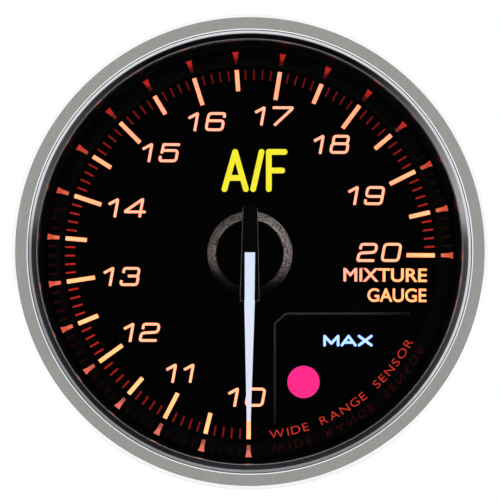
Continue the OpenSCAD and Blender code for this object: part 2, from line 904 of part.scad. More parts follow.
module motor_case_rear() {
    color([0.2, 0.2, 0.22]) face_frame() difference() {
        union() {
            difference() {
                translate(motor_pos) disc(motor_r, motor_back_z, motor_split_z);
                translate(motor_pos) disc(cavity_r, cavity_back_z, motor_split_z + over);
            }
            disc(bearing_r, motor_back_z + motor_wall / 2, cavity_back_z + bearing_h);
        }
        disc(shaft_r + run_gap, cavity_back_z - axle_sink, motor_split_z);
        at_idler() disc(axle_r, cavity_back_z - axle_sink, motor_split_z);
        at_rotor() disc(axle_r, cavity_back_z - axle_sink, motor_split_z);
    }
}

module motor_terminals() {
    color([0.75, 0.65, 0.35]) face_frame() at_terminals()
        disc(terminal_r, cavity_top_z, board_z);
}

// Both arms of the stator, each drawn along +x from the rotor's axis
module at_arms() {
    at_rotor() for (turn = core_turns) rotate([0, 0, turn]) children();
}

module stator_core() {
    ring_r = magnet_r + core_gap;
    color([0.6, 0.6, 0.62]) face_frame() difference() {
        union() {
            at_rotor() disc(ring_r + core_w, core_z, core_z + core_t);
            at_arms() spoke(ring_r, core_arm_len, core_arm_w, core_z, core_z + core_t);
        }
        at_rotor() disc(ring_r, core_z - over, core_z + core_t + over);
    }
}

module stator_coils() {
    axis_z = core_z + core_t / 2;
    color([0.72, 0.4, 0.2]) face_frame() at_arms() difference() {
        translate([coil_start, 0, axis_z]) rotate([0, 90, 0]) {
            cylinder(r = coil_r * coil_bobbin_share, h = coil_l);
            cylinder(r = coil_r, h = coil_flange_t);
            translate([0, 0, coil_l - coil_flange_t]) cylinder(r = coil_r, h = coil_flange_t);
        }
        spoke(coil_start - over, coil_start + coil_l + over, core_arm_w, core_z, core_z + core_t);
    }
}

// Pointer

module pointer_boss() {
    color([0.9, 0.92, 0.95, 0.7]) face_frame() difference() {
        union() {
            disc(boss_skirt_r, boss_skirt_z, hub_z);
            disc(boss_r, boss_skirt_z, boss_top_z);
        }
        disc(shaft_r, boss_skirt_z - over, boss_top_z - boss_cover_t);
    }
}

module hub_cap() {
    color(gloss_black) face_frame() difference() {
        rotate_extrude() polygon([[0, hub_z], [hub_cap_r, hub_z],
            [hub_cap_r, hub_top_z - hub_edge], [hub_cap_r - hub_edge, hub_top_z], [0, hub_top_z]]);
        disc(boss_r, hub_z - over, boss_top_z);
        disc(blade_foot_r, hub_z, hub_top_z + over);
    }
}

module hub_ring() {
    ring_top_z = hub_z + hub_cap_h * ring_h_share;
    color([0.6, 0.6, 0.62]) face_frame() rotate_extrude()
        polygon([[hub_cap_r, hub_z], [hub_ring_r, hub_z], [hub_ring_r, hub_z + hub_edge],
            [hub_cap_r + hub_edge, ring_top_z], [hub_cap_r, ring_top_z]]);
}

// Half width of the blade at a distance from the axis
function blade_half(y) = (y < cover_len
    ? blade_root_w + (blade_mid_w - blade_root_w) * y / cover_len
    : blade_mid_w + (blade_tip_w - blade_mid_w) * (y - cover_len) / (pointer_len - cover_len)) / 2;

// The blade's outline from above, grown on every side
module blade_outline(grow, length) {
    polygon([
        [-blade_half(0) - grow, blade_root_w / 2 + grow],
        [blade_half(0) + grow, blade_root_w / 2 + grow],
        [blade_half(cover_len) + grow, -cover_len],
        [blade_half(length) + grow, -length],
        [-blade_half(length) - grow, -length],
        [-blade_half(cover_len) - grow, -cover_len]
    ]);
}

module pointer_cover() {
    color(gloss_black) face_frame() translate([0, 0, hub_top_z]) linear_extrude(cover_t)
        difference() {
            polygon([
                [-cover_top_w / 2 + cover_nose, cover_len], [cover_top_w / 2 - cover_nose, cover_len],
                [cover_top_w / 2, cover_len - cover_nose], [cover_end_w / 2, -cover_len],
                [-cover_end_w / 2, -cover_len], [-cover_top_w / 2, cover_len - cover_nose]
            ]);
            blade_outline(cover_slot_gap, cover_len + over);
        }
}

module pointer_blade() {
    color([0.85, 0.88, 1]) face_frame() {
        translate([0, 0, hub_top_z]) linear_extrude(blade_t) blade_outline(0, pointer_len);
        disc(blade_foot_r, boss_top_z, hub_top_z + blade_t / 2);
    }
}

// Power board and what it carries

module at_posts() {
    both_sides() for (y = [-post_y, post_y]) translate([post_x, y, 0]) children();
}

module power_board() {
    color(board_green) face_frame() difference() {
        disc(power_board_r, power_back_z, power_z);
        at_posts() disc(board_screw_r, power_back_z - over, power_z + over);
        at_socket(1) at_pins(sensor_pins_n)
            block(pin_w, pin_w, power_back_z - over, power_z + over);
        at_socket(-1) at_pins(power_pins_n)
            block(pin_w, pin_w, power_back_z - over, power_z + over);
    }
}

module power_board_screws() {
    color(plated_steel) face_frame() at_posts() translate([0, 0, power_z])
        pan_screw(board_screw_r, board_t + post_h / 2, board_screw_head_r, board_screw_head_h);
}

module capacitors() {
    color([0.2, 0.22, 0.3]) face_frame() both_sides() translate([cap_x, cap_y, power_z])
        difference() {
            cylinder(r = cap_can_r, h = cap_can_h);
            translate([0, 0, cap_can_h * cap_groove_share]) difference() {
                cylinder(r = cap_can_r + over, h = cap_groove_h);
                cylinder(r = cap_can_r - cap_groove_depth, h = cap_groove_h);
            }
        }
}

module voltage_regulator() {
    color([0.12, 0.12, 0.12]) face_frame() translate([regulator_x, -regulator_drop, 0])
        block(regulator_w, regulator_l, power_z, power_z + regulator_h);
}

// A socket's place: side is 1 for the upper one and -1 for the lower one
module at_socket(side) {
    translate([0, side * socket_y, 0]) children();
}

module at_pins(count) {
    for (i = [0 : count - 1])
        translate([(i - (count - 1) / 2) * socket_pitch, 0, 0]) children();
}

module socket(side, pins) {
    mouth = power_back_z - socket_len;
    at_socket(side) difference() {
        block(socket_w, socket_h, mouth, power_back_z);
        block(socket_w - 2 * socket_wall, socket_h - 2 * socket_wall,
            mouth - over, mouth + cavity_depth);
        translate([0, side * (socket_h - socket_wall) / 2, 0])
            block(key_w, socket_wall + 2 * over, mouth - over, mouth + cavity_depth / 2);
        at_pins(pins) block(pin_w, pin_w, mouth, power_back_z + over);
    }
}

module socket_pins(side, pins) {
    at_socket(side) at_pins(pins)
        block(pin_w, pin_w, power_back_z - socket_len + cavity_depth - pin_reach,
            power_z + pin_solder);
}

module sensor_socket() {
    color([0.13, 0.13, 0.14]) face_frame() socket(1, sensor_pins_n);
}

module power_socket() {
    color([0.9, 0.9, 0.86]) face_frame() socket(-1, power_pins_n);
}

module sensor_pins() {
    color([0.75, 0.65, 0.35]) face_frame() socket_pins(1, sensor_pins_n);
}

module power_pins() {
    color([0.75, 0.65, 0.35]) face_frame() socket_pins(-1, power_pins_n);
}

// Housing and back

module housing() {
    color([0.07, 0.07, 0.075]) face_frame() difference() {
        union() {
            rotate_extrude() polygon([
                [can_in_r, flange_top_z], [can_in_r, can_rear_z],
                [can_back_r, can_rear_z], [can_back_r, -register_len], [can_r, -register_len],
                [can_r, 0], [neck_r, 0], [neck_r, flange_back_z], [flange_r, flange_back_z],
                [flange_r, flange_top_z]
            ]);
            at_pads() spoke(pad_in_r, can_in_r + can_wall / 2, pad_w, can_rear_z, board_back_z);
        }
        at_pads() translate([pad_screw_r, 0, 0]) {
            disc(board_screw_r, board_z - board_screw_len, board_back_z + over);
            disc(cover_screw_r, can_rear_z - over, rear_z + cover_screw_len);
        }
    }
}

module rear_seal() {
    color([0.08, 0.08, 0.08]) face_frame() ring(can_back_r, can_in_r, cover_z, can_rear_z);
}

module rear_cover() {
    color([0.09, 0.09, 0.095]) face_frame() difference() {
        union() {
            disc(can_back_r, rear_z, cover_z);
            at_posts() disc(post_r, rear_z + cover_plate_t / 2, power_back_z);
            at_pads() spoke(pad_in_r, can_in_r - fit_gap, pad_w, cover_z - cover_plate_t / 2,
                can_rear_z);
        }
        for (side = [-1, 1]) at_socket(side)
            block(socket_w + 2 * fit_gap, socket_h + 2 * fit_gap, rear_z - over, cover_z + over);
        both_sides() translate([stud_x, 0, 0]) disc(stud_r, rear_z - over, cover_z + over);
        at_posts() disc(board_screw_r, power_back_z - post_h / 2, power_back_z + over);
        at_pads() translate([pad_screw_r, 0, 0])
            disc(cover_screw_r, rear_z - over, can_rear_z + over);
    }
}

module cover_screws() {
    color(plated_steel) face_frame() at_pads() translate([pad_screw_r, 0, rear_z])
        rotate([180, 0, 0])
            pan_screw(cover_screw_r, cover_screw_len, cover_screw_head_r, cover_screw_head_h);
}

module studs() {
    color(plated_steel) face_frame() both_sides() translate([stud_x, 0, 0]) {
        disc(stud_flange_r, cover_z, cover_z + stud_flange_t);
        translate([0, 0, rear_z - stud_len]) rotate_extrude()
            polygon([[0, 0], [stud_r - stud_tip, 0], [stud_r, stud_tip],
                [stud_r, stud_len + cover_plate_t + stud_flange_t / 2],
                [0, stud_len + cover_plate_t + stud_flange_t / 2]]);
    }
}

// Clamp

// Quarter of a bent strip, between the directions -x and -y
module bend_quarter() {
    intersection() {
        difference() {
            circle(r = bend_r + strip_t);
            circle(r = bend_r);
        }
        translate([0, -bend_r - strip_t]) square(bend_r + strip_t);
    }
}

// Half of the clamp from the side, drawn with x across and y towards the driver
module strip_half() {
    leg_out_x = leg_in_x + strip_t;
    translate([0, bridge_z - strip_t]) square([leg_in_x - bend_r, strip_t]);
    translate([leg_in_x - bend_r, bridge_z + bend_r]) bend_quarter();
    translate([leg_in_x, bridge_z + bend_r])
        square([strip_t, -panel_t - bridge_z - bend_r]);
    translate([leg_in_x, -panel_t - strip_t]) square([foot_len, strip_t]);
}

module clamp_bracket() {
    color(plated_steel) face_frame() difference() {
        translate([0, strip_w / 2, 0]) rotate([90, 0, 0]) linear_extrude(strip_w) {
            strip_half();
            mirror([1, 0]) strip_half();
        }
        both_sides() translate([stud_x, 0, 0])
            disc(stud_r + strip_hole_gap, bridge_z - strip_t - over, bridge_z + over);
    }
}

module washers() {
    color(plated_steel) face_frame() both_sides() translate([stud_x, 0, 0])
        ring(washer_r, stud_r + strip_hole_gap, bridge_z - strip_t - washer_t,
            bridge_z - strip_t);
}

function knurl_outline(r, depth, count) =
    [for (i = [0 : 2 * count - 1]) let (a = i * 180 / count)
        (r - (i % 2) * depth) * [cos(a), sin(a)]];

module thumb_nuts() {
    nut_top_z = bridge_z - strip_t - washer_t;
    color([0.75, 0.65, 0.4]) face_frame() both_sides() translate([stud_x, 0, 0])
        difference() {
            union() {
                disc(nut_r * nut_collar_share, nut_top_z - nut_h, nut_top_z);
                translate([0, 0, nut_top_z - nut_h + nut_collar_h])
                    linear_extrude(nut_h - nut_collar_h)
                        polygon(knurl_outline(nut_r, nut_depth, nut_knurls));
            }
            disc(stud_r + hole_gap, nut_top_z - nut_h - over, nut_top_z + over);
        }
}

bezel();
lens();
lens_gasket();
dial_surround();
foot_marks();
dial_plate();
major_ticks();
minor_ticks();
peak_window();
warning_lens();
light_guide();
light_box();
display_board();
backlight_leds();
pointer_leds();
peak_led();
warning_led();
controller_chip();
board_screws();
header_pins();
header_socket();
motor_case_front();
motor_case_rear();
motor_terminals();
stator_core();
stator_coils();
rotor_magnet();
rotor_pinion();
rotor_axle();
idler_gear();
idler_axle();
output_gear();
output_shaft();
pointer_boss();
hub_cap();
hub_ring();
pointer_cover();
pointer_blade();
power_board();
power_board_screws();
capacitors();
voltage_regulator();
sensor_socket();
sensor_pins();
power_socket();
power_pins();
housing();
rear_seal();
rear_cover();
cover_screws();
studs();
clamp_bracket();
washers();
thumb_nuts();
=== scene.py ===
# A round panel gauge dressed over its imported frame: wide satin bezel with polished edges,
# gloss black surround, lit dial with strokes for figures, a lit pointer, and the can behind.
# Sketches are drawn in millimetres in the dial's own plane (x right, y up, z towards the
# driver) and stood up into the frame by FACE.
import math

import bmesh
import bpy
from mathutils import Matrix, Vector


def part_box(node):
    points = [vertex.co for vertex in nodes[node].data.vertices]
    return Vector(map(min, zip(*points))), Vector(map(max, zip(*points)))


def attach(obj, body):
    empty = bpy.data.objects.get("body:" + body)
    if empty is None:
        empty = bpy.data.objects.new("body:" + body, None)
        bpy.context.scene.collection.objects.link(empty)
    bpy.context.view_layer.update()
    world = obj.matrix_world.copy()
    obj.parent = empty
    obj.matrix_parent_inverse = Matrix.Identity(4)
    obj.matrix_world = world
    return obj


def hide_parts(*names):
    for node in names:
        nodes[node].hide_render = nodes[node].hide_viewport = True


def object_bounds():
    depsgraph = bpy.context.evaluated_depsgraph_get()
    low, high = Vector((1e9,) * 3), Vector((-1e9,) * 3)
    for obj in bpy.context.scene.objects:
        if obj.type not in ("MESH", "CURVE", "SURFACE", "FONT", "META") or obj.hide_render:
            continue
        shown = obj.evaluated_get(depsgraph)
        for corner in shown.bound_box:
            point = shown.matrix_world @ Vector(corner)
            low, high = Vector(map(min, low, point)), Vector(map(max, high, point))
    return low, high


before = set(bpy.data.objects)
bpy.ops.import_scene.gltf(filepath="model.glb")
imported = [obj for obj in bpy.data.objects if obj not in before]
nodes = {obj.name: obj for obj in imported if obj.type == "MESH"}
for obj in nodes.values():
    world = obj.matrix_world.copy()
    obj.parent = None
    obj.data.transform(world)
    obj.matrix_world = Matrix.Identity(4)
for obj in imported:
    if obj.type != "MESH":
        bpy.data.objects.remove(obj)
cad_low, cad_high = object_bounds()

MM = 0.001
FACE = Matrix(((MM, 0, 0, 0), (0, 0, -MM, 0), (0, MM, 0, 0), (0, 0, 0, 1)))

# The picture: one pixel in the dial's plane, the axis in pixels, and how far the dial is
# turned clockwise
PX = 1 / 7.844
PX_X, PX_Y = 249.85, 254.2
ROLL = math.radians(0.4)


def front_of(node):
    return -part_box(node)[0][1] / MM


def back_of(node):
    return -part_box(node)[1][1] / MM


# Where the frame's parts are. A front is nearer to the driver than a back.
BEZEL_FRONT = front_of("bezel")
LENS_FRONT = front_of("lens")
LEDGE = front_of("dial_surround")
SURROUND_BACK = back_of("dial_surround")
DIAL_FRONT = front_of("dial_plate")
DIAL_BACK = back_of("dial_plate")
FOOT_FRONT = front_of("foot_marks") - 0.03    # the marks stand a little proud of their ring
HUB_BACK = back_of("hub_cap")
HUB_FRONT = front_of("hub_cap")
COVER_FRONT = front_of("pointer_cover")
BLADE_FRONT = front_of("pointer_blade")
HOUSING_FRONT = front_of("housing")
CAN_BACK = back_of("housing")
COVER_BACK = back_of("rear_cover")
COVER_TOP = CAN_BACK - 0.5                    # the rear seal lies between them
STUD_TIP = back_of("studs")
STRIP_BACK = back_of("clamp_bracket")
WASHER_BACK = back_of("washers")
NUT_BACK = back_of("thumb_nuts")
SOCKET_BACK = back_of("sensor_socket")
SOCKET_FRONT = front_of("sensor_socket")

# What the boxes of the frame's parts don't give
RIM = 30.0                # the bezel's outer radius
SEAT_RADIUS = 28.0        # the lens and the can's flange sit in the bezel out to here
SEAT_BACK = 0.8           # the back of that seat
STUD_X = 18.0
SOCKET_Y = 13.0
POST_ANGLES = [math.radians(angle) for angle in (45, 135, 225, 315)]
SCALE_STEPS = 100
STEP_ANGLE = 2.7          # degrees between two ticks, clockwise from the foot
LONG_EVERY = 5            # a long tick stands at every fifth step
FINE = 1e-4               # two heights nearer than this are the same
MERGE = 1e-5              # and two points nearer than this are one


# Shop tools for meshes

def bevelled(bm, edges, width, segments):
    """Rounds the edges that are given."""
    bmesh.ops.bevel(bm, geom=edges, offset=width, offset_type="OFFSET", segments=segments,
                    profile=0.5, affect="EDGES", clamp_overlap=True, material=-1)


def soften(bm, width, segments=2, angle=0.5):
    """Rounds the edges where two faces turn by more than angle."""
    edges = [e for e in bm.edges if len(e.link_faces) == 2 and e.calc_face_angle(0) > angle]
    bevelled(bm, edges, width, segments)


def turned(profile, steps=192, loop=True):
    """A piece turned on the gauge's axis from (radius, z) points."""
    bm = bmesh.new()
    verts = [bm.verts.new((r, 0, z)) for r, z in profile]
    pairs = list(zip(verts, verts[1:])) + ([(verts[-1], verts[0])] if loop else [])
    edges = [bm.edges.new(pair) for pair in pairs]
    bmesh.ops.spin(bm, geom=verts + edges, cent=(0, 0, 0), axis=(0, 0, 1), dvec=(0, 0, 0),
                   angle=2 * math.pi, steps=steps, use_merge=True, use_duplicate=False)
    bmesh.ops.remove_doubles(bm, verts=bm.verts, dist=MERGE)
    bmesh.ops.recalc_face_normals(bm, faces=bm.faces)
    return bm


def drum(radius, low, high, steps, rise=0.0):
    """A solid round piece, whose radius grows by rise towards its top."""
    return turned([(0.0, low), (radius, low), (radius + rise, high), (0.0, high)], steps, False)


def block(size, centre, edge=0.0):
    """A squared piece with eased edges."""
    bm = bmesh.new()
    bmesh.ops.create_cube(bm, size=1)
    bmesh.ops.scale(bm, vec=size, verts=bm.verts)
    bmesh.ops.translate(bm, vec=centre, verts=bm.verts)
    if edge:
        soften(bm, edge)
    return bm


def pulled(bm, faces, way):
    """Draws faces out along a way, and leaves walls behind them."""
    out = bmesh.ops.extrude_face_region(bm, geom=faces)
    verts = [g for g in out["geom"] if isinstance(g, bmesh.types.BMVert)]
    bmesh.ops.translate(bm, vec=way, verts=verts)


def cut_out(points, way):
    """A flat piece with the outline of points, drawn out along its thickness."""
    bm = bmesh.new()
    face = bm.faces.new([bm.verts.new(point) for point in points])
    pulled(bm, [face], way)
    bmesh.ops.recalc_face_normals(bm, faces=bm.faces)
    return bm


def plate(outline, low, high):
    return cut_out([(x, y, low) for x, y in outline], (0, 0, high - low))


def both_sides(half):
    """An outline closed with its own reflection on the left."""
    return half + [(-x, y) for x, y in reversed(half) if x > 0]


def moved(bm, x=0.0, y=0.0, z=0.0, turn=0.0):
    if turn:
        bmesh.ops.rotate(bm, cent=(0, 0, 0), matrix=Matrix.Rotation(turn, 3, "Z"), verts=bm.verts)
    bmesh.ops.translate(bm, vec=(x, y, z), verts=bm.verts)
    return bm


def joined(parts):
    """Several meshes as one."""
    bm = bmesh.new()
    for part in parts:
        scratch = bpy.data.meshes.new("scratch")
        part.to_mesh(scratch)
        part.free()
        bm.from_mesh(scratch)
        bpy.data.meshes.remove(scratch)
    return bm


def mirrored(make):
    """The same piece on the left and on the right."""
    right = make()
    left = make()
    bmesh.ops.scale(left, vec=(-1, 1, 1), verts=left.verts)
    bmesh.ops.reverse_faces(left, faces=left.faces)
    return joined([right, left])


def shown(name, data):
    """A new object in the scene."""
    obj = bpy.data.objects.new(name, data)
    bpy.context.scene.collection.objects.link(obj)
    return obj


def baked(curve):
    """The mesh of a curve or of text, which is let go."""
    holder = shown(curve.name, curve)
    bpy.context.view_layer.update()
    mesh = bpy.data.meshes.new_from_object(
        holder.evaluated_get(bpy.context.evaluated_depsgraph_get()))
    bm = bmesh.new()
    bm.from_mesh(mesh)
    bpy.data.objects.remove(holder)
    bpy.data.curves.remove(curve)
    bpy.data.meshes.remove(mesh)
    return bm


def piece(bm, name, look, stands_for=(), body="case", smooth=30.0):
    """Stands a drawn mesh up into the frame and hands it to its body."""
    bmesh.ops.transform(bm, matrix=FACE, verts=bm.verts)
    mesh = bpy.data.meshes.new(name)
    bm.to_mesh(mesh)
    bm.free()
    for material in look if isinstance(look, list) else [look]:
        mesh.materials.append(material)
    if smooth:
        mesh.shade_smooth()
        mesh.set_sharp_from_angle(angle=math.radians(smooth))
    obj = shown(name, mesh)
    if stands_for:
        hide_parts(*stands_for)
    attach(obj, body)


def dress(node, look):
    """Gives a carried-over part its finish."""
    mesh = nodes[node].data
    mesh.materials.clear()
    mesh.materials.append(look)


# Shader workshop

RELIEF = 0.02 * MM        # the height of surface relief
SHADER_SOCKETS = {
    "base": "Base Color", "metal": "Metallic", "rough": "Roughness", "alpha": "Alpha",
    "normal": "Normal", "specular": "Specular IOR Level", "glow": "Emission Color",
    "strength": "Emission Strength",
}


class Bench:
    """Lays out nodes in one tree."""

    def __init__(self, tree):
        self.tree = tree

    def feed(self, value, socket):
        """Links an output to a socket, or writes a plain value or colour into it."""
        if isinstance(value, bpy.types.NodeSocket):
            self.tree.links.new(value, socket)
        elif isinstance(value, tuple):
            socket.default_value = (*value[:3], 1)
        else:
            socket.default_value = value

    def add(self, kind, values=None, **settings):
        node = self.tree.nodes.new(kind)
        for key, value in settings.items():
            setattr(node, key, value)
        for key, value in (values or {}).items():
            self.feed(value, node.inputs[key])
        return node

    def math(self, operation, a, b=0.0, clamp=False):
        node = self.add("ShaderNodeMath", {0: a, 1: b}, operation=operation, use_clamp=clamp)
        return node.outputs[0]

    def plus(self, a, b):
        return self.math("ADD", a, b)

    def minus(self, a, b):
        return self.math("SUBTRACT", a, b)

    def times(self, a, b):
        return self.math("MULTIPLY", a, b)

    def reach(self, a, b):
        """How far two lengths at right angles reach together."""
        return self.math("SQRT", self.plus(self.times(a, a), self.times(b, b)))

    def ramp(self, value, low, high, to_low=0.0, to_high=1.0, smooth=False):
        kind = "SMOOTHSTEP" if smooth else "LINEAR"
        return self.add("ShaderNodeMapRange", {"Value": value, "From Min": low, "From Max": high,
                                               "To Min": to_low, "To Max": to_high},
                        interpolation_type=kind).outputs[0]

    def mix(self, factor, a, b, blend="MIX"):
        return self.add("ShaderNodeMix", {0: factor, 6: a, 7: b}, data_type="RGBA",
                        blend_type=blend).outputs[2]

    def dimmed(self, colour, level):
        """A colour brought up or down by a level."""
        grey = self.add("ShaderNodeCombineColor", {"Red": level, "Green": level, "Blue": level})
        return self.mix(1.0, colour, grey.outputs[0], "MULTIPLY")

    def places(self):
        return self.add("ShaderNodeTexCoord").outputs["Object"]

    def noise(self, scale, detail=2.0, rough=0.5):
        node = self.add("ShaderNodeTexNoise", {"Vector": self.places(), "Scale": scale,
                                               "Detail": detail, "Roughness": rough})
        return node.outputs["Fac"]

    def axes(self, vector):
        return self.add("ShaderNodeSeparateXYZ", {"Vector": vector}).outputs[:3]

    def on_dial(self):
        """How far to the right and how high the surface lies, in millimetres."""
        x, _, z = self.axes(self.places())
        return self.times(x, 1 / MM), self.times(z, 1 / MM)


class Effect(Bench):
    """A shared effect: a node group with named inputs and outputs."""

    def __init__(self, name, inputs, outputs):
        super().__init__(bpy.data.node_groups.new(name, "ShaderNodeTree"))
        for label, value in inputs.items():
            self.socket(label, "INPUT").default_value = value
        for label in outputs:
            self.socket(label, "OUTPUT")
        self.given = self.add("NodeGroupInput").outputs
        self.results = self.add("NodeGroupOutput").inputs

    def socket(self, label, way):
        kind = "NodeSocketColor" if label == "Color" else "NodeSocketFloat"
        return self.tree.interface.new_socket(label, in_out=way, socket_type=kind)

    def gives(self, **outputs):
        """Feeds the effect's outputs and hands over its tree."""
        for label, value in outputs.items():
            self.feed(value, self.results[label])
        return self.tree


class Coat(Bench):
    """The bench of one material."""

    def __init__(self, name):
        self.material = bpy.data.materials.new(name)
        self.material.use_nodes = True
        super().__init__(self.material.node_tree)

    def shared(self, effect, **values):
        """Places a shared effect with this material's own values."""
        named = {key.replace("_", " ").title(): value for key, value in values.items()}
        return self.add("ShaderNodeGroup", named, node_tree=effect).outputs

    def relief(self, height, distance=RELIEF):
        bump = self.add("ShaderNodeBump", {"Height": height, "Strength": 1.0,
                                           "Distance": distance})
        return bump.outputs[0]

    def painted(self, **looks):
        """Feeds the shader's sockets and hands over the material."""
        inputs = self.tree.nodes["Principled BSDF"].inputs
        for key, value in looks.items():
            self.feed(value, inputs[SHADER_SOCKETS[key]])
        return self.material


def make_mottle():
    """Colour that drifts a little, in patches and in specks."""
    b = Effect("mottle", {"Color": (0.5, 0.5, 0.5, 1), "Patch Scale": 90.0,
                          "Speck Scale": 2500.0, "Amount": 0.1}, ["Color"])
    patch = b.noise(b.given["Patch Scale"])
    speck = b.noise(b.given["Speck Scale"], 1.0)
    drift = b.minus(b.plus(b.times(patch, 0.6), b.times(speck, 0.4)), 0.5)
    level = b.plus(1.0, b.times(drift, b.times(b.given["Amount"], 2.0)))
    return b.gives(Color=b.dimmed(b.given["Color"], level))


def make_grain():
    """Fine surface relief, as a height."""
    b = Effect("grain", {"Scale": 3000.0, "Depth": 1.0}, ["Height"])
    fine = b.noise(b.given["Scale"], 2.0, 0.6)
    return b.gives(Height=b.times(fine, b.given["Depth"]))


def make_turning():
    """Fine circular tool marks round the gauge's axis, as a height."""
    b = Effect("turning marks", {"Scale": 9000.0, "Depth": 1.0}, ["Height"])
    x, _, z = b.axes(b.places())
    line = b.add("ShaderNodeTexNoise", {"W": b.reach(x, z), "Scale": b.given["Scale"],
                                        "Detail": 2.0}, noise_dimensions="1D").outputs["Fac"]
    return b.gives(Height=b.times(line, b.given["Depth"]))


def make_handling():
    """Roughness that varies as on a part that has been handled."""
    b = Effect("handling", {"Roughness": 0.3, "Spread": 0.08, "Scale": 160.0}, ["Roughness"])
    smear = b.minus(b.noise(b.given["Scale"], 4.0, 0.65), 0.5)
    return b.gives(Roughness=b.plus(b.given["Roughness"], b.times(smear, b.given["Spread"])))


def make_scale_light():
    """How the backlight runs over the dial: Yellow goes from peach at 0 to pale yellow at 1,
    Low from the top to the middle, and Foot from below the middle to the foot."""
    b = Effect("scale light", {"Start": 14.0, "End": 19.0}, ["Yellow", "Low", "Foot"])
    x, z = b.on_dial()
    spot = b.minus(b.reach(x, z), b.times(z, 0.3))
    return b.gives(Yellow=b.ramp(spot, b.given["Start"], b.given["End"], smooth=True),
                   Low=b.ramp(z, 22.0, -4.0, smooth=True),
                   Foot=b.ramp(z, -8.0, -22.0, smooth=True))


MOTTLE, GRAIN = make_mottle(), make_grain()
TURNING, HANDLING, SCALE_LIGHT = make_turning(), make_handling(), make_scale_light()
FOOT_DIM = 0.38           # what is left of the backlight at the foot of the dial


def finish(name, colour, rough=0.4, metal=0.0, spread=0.06, mottle=0.06, patch=90.0,
           speck=2500.0, grain=3000.0, depth=0.02, distance=RELIEF, specular=0.5, turning=0.0,
           smear=160.0):
    """A surface with drifting colour, handled gloss and fine relief."""
    b = Coat(name)
    shade = b.shared(MOTTLE, color=colour, patch_scale=patch, speck_scale=speck, amount=mottle)
    gloss = b.shared(HANDLING, roughness=rough, spread=spread, scale=smear)
    height = b.shared(GRAIN, scale=grain, depth=depth)["Height"]
    if turning:
        height = b.plus(height, b.shared(TURNING, depth=turning)["Height"])
    return b.painted(base=shade["Color"], rough=gloss["Roughness"], metal=metal,
                     specular=specular, normal=b.relief(height, distance))


def lit(name, near, far, start=14.0, end=19.0, dim=None, base=(0.002, 0.0015, 0.0015)):
    """A smoked window lit from behind, or a painted reflection that glows. Its colour runs
    from near to far between two distances in millimetres, and with dim it loses light at the top,
    and a little at the foot."""
    b = Coat(name)
    light = b.shared(SCALE_LIGHT, start=start, end=end)
    colour = b.mix(light["Yellow"], near, far)
    if dim is not None:
        at_top = b.ramp(light["Low"], 0.0, 1.0, dim, 1.0)
        at_foot = b.ramp(light["Foot"], 0.0, 1.0, 1.0, FOOT_DIM)
        colour = b.dimmed(colour, b.times(at_top, at_foot))
    uneven = b.ramp(b.noise(700.0), 0.25, 0.75, 0.93, 1.05)
    return b.painted(glow=b.dimmed(colour, uneven), strength=1.0, base=base, rough=0.5,
                     specular=0.02)


# Finishes

bezel_satin = finish("bezel_satin", (0.162, 0.164, 0.154), rough=0.5, metal=0.6, spread=0.06,
                     mottle=0.42, patch=4600.0, speck=9000.0, grain=6500.0, depth=1.2,
                     distance=RELIEF / 2)
bezel_polish = finish("bezel_polish", (0.93, 0.93, 0.95), rough=0.1, metal=1.0, spread=0.05,
                      mottle=0.03, depth=0.05, turning=0.1)
bezel_lip = finish("bezel_lip", (0.17, 0.17, 0.18), rough=0.2, metal=1.0, spread=0.04, depth=0.03)
# the fine groove gets a darker metal than the polish, a painted shade of the groove
bezel_groove_shade = finish("bezel_groove_shade", (0.10, 0.10, 0.11), rough=0.35, metal=0.6, depth=0.05)
bezel_black = finish("bezel_black", (0.002, 0.002, 0.0025), rough=0.2, spread=0.03, depth=0.0,
                     specular=0.16)
bezel_side = finish("bezel_side", (0.52, 0.53, 0.52), rough=0.3, metal=1.0, spread=0.05,
                    mottle=0.03, depth=0.02, smear=60.0)
gloss_black = finish("gloss_black", (0.0008, 0.0008, 0.0010), rough=0.32, spread=0.02,
                     specular=0.02, mottle=0.02, depth=0.0)
dial_ink = finish("dial_ink", (0.0005, 0.0005, 0.0007), rough=0.6, spread=0.08, specular=0.0,
                  mottle=0.3, grain=5000.0, depth=0.1)
hub_black = finish("hub_black", (0.0004, 0.0004, 0.0005), rough=0.7, spread=0.05, specular=0.0,
                   depth=0.02)
cover_black = finish("cover_black", (0.0007, 0.0007, 0.0006), rough=0.5, spread=0.03,
                     specular=0.01, depth=0.02)
cover_rim = finish("cover_rim", (0.036, 0.031, 0.029), rough=0.5, spread=0.1, mottle=0.6,
                   specular=0.3, depth=0.5)
rubber = finish("rubber", (0.022, 0.022, 0.022), rough=0.75, grain=4000.0, depth=0.3)
can_black = finish("can_black", (0.03, 0.03, 0.032), rough=0.55, spread=0.1, mottle=0.12,
                   grain=5200.0, depth=1.0, distance=RELIEF * 1.5)
socket_black = finish("socket_black", (0.022, 0.022, 0.024), rough=0.38, spread=0.1,
                      grain=2600.0, depth=0.3)
socket_white = finish("socket_white", (0.78, 0.77, 0.72), rough=0.42, spread=0.1, mottle=0.04,
                      grain=2600.0, depth=0.3)
zinc = finish("zinc", (0.60, 0.61, 0.63), rough=0.32, metal=1.0, spread=0.12, mottle=0.06,
              patch=160.0, speck=700.0, grain=2400.0, depth=0.12, smear=260.0)
brass = finish("brass", (0.78, 0.58, 0.27), rough=0.26, metal=1.0, spread=0.16, mottle=0.10,
               patch=300.0, depth=0.2, smear=380.0)
tinned = finish("tinned", (0.82, 0.74, 0.52), rough=0.22, metal=1.0, spread=0.1, mottle=0.06)
board_lacquer = finish("board_lacquer", (0.012, 0.085, 0.045), rough=0.3, spread=0.12,
                       mottle=0.18, patch=420.0, depth=0.2)
white_plastic = finish("white_plastic", (0.82, 0.82, 0.79), rough=0.5, depth=0.25)
chip_black = finish("chip_black", (0.02, 0.02, 0.021), rough=0.6, grain=5200.0, depth=0.6)
resin = finish("resin", (0.85, 0.74, 0.45), rough=0.3, depth=0.1)
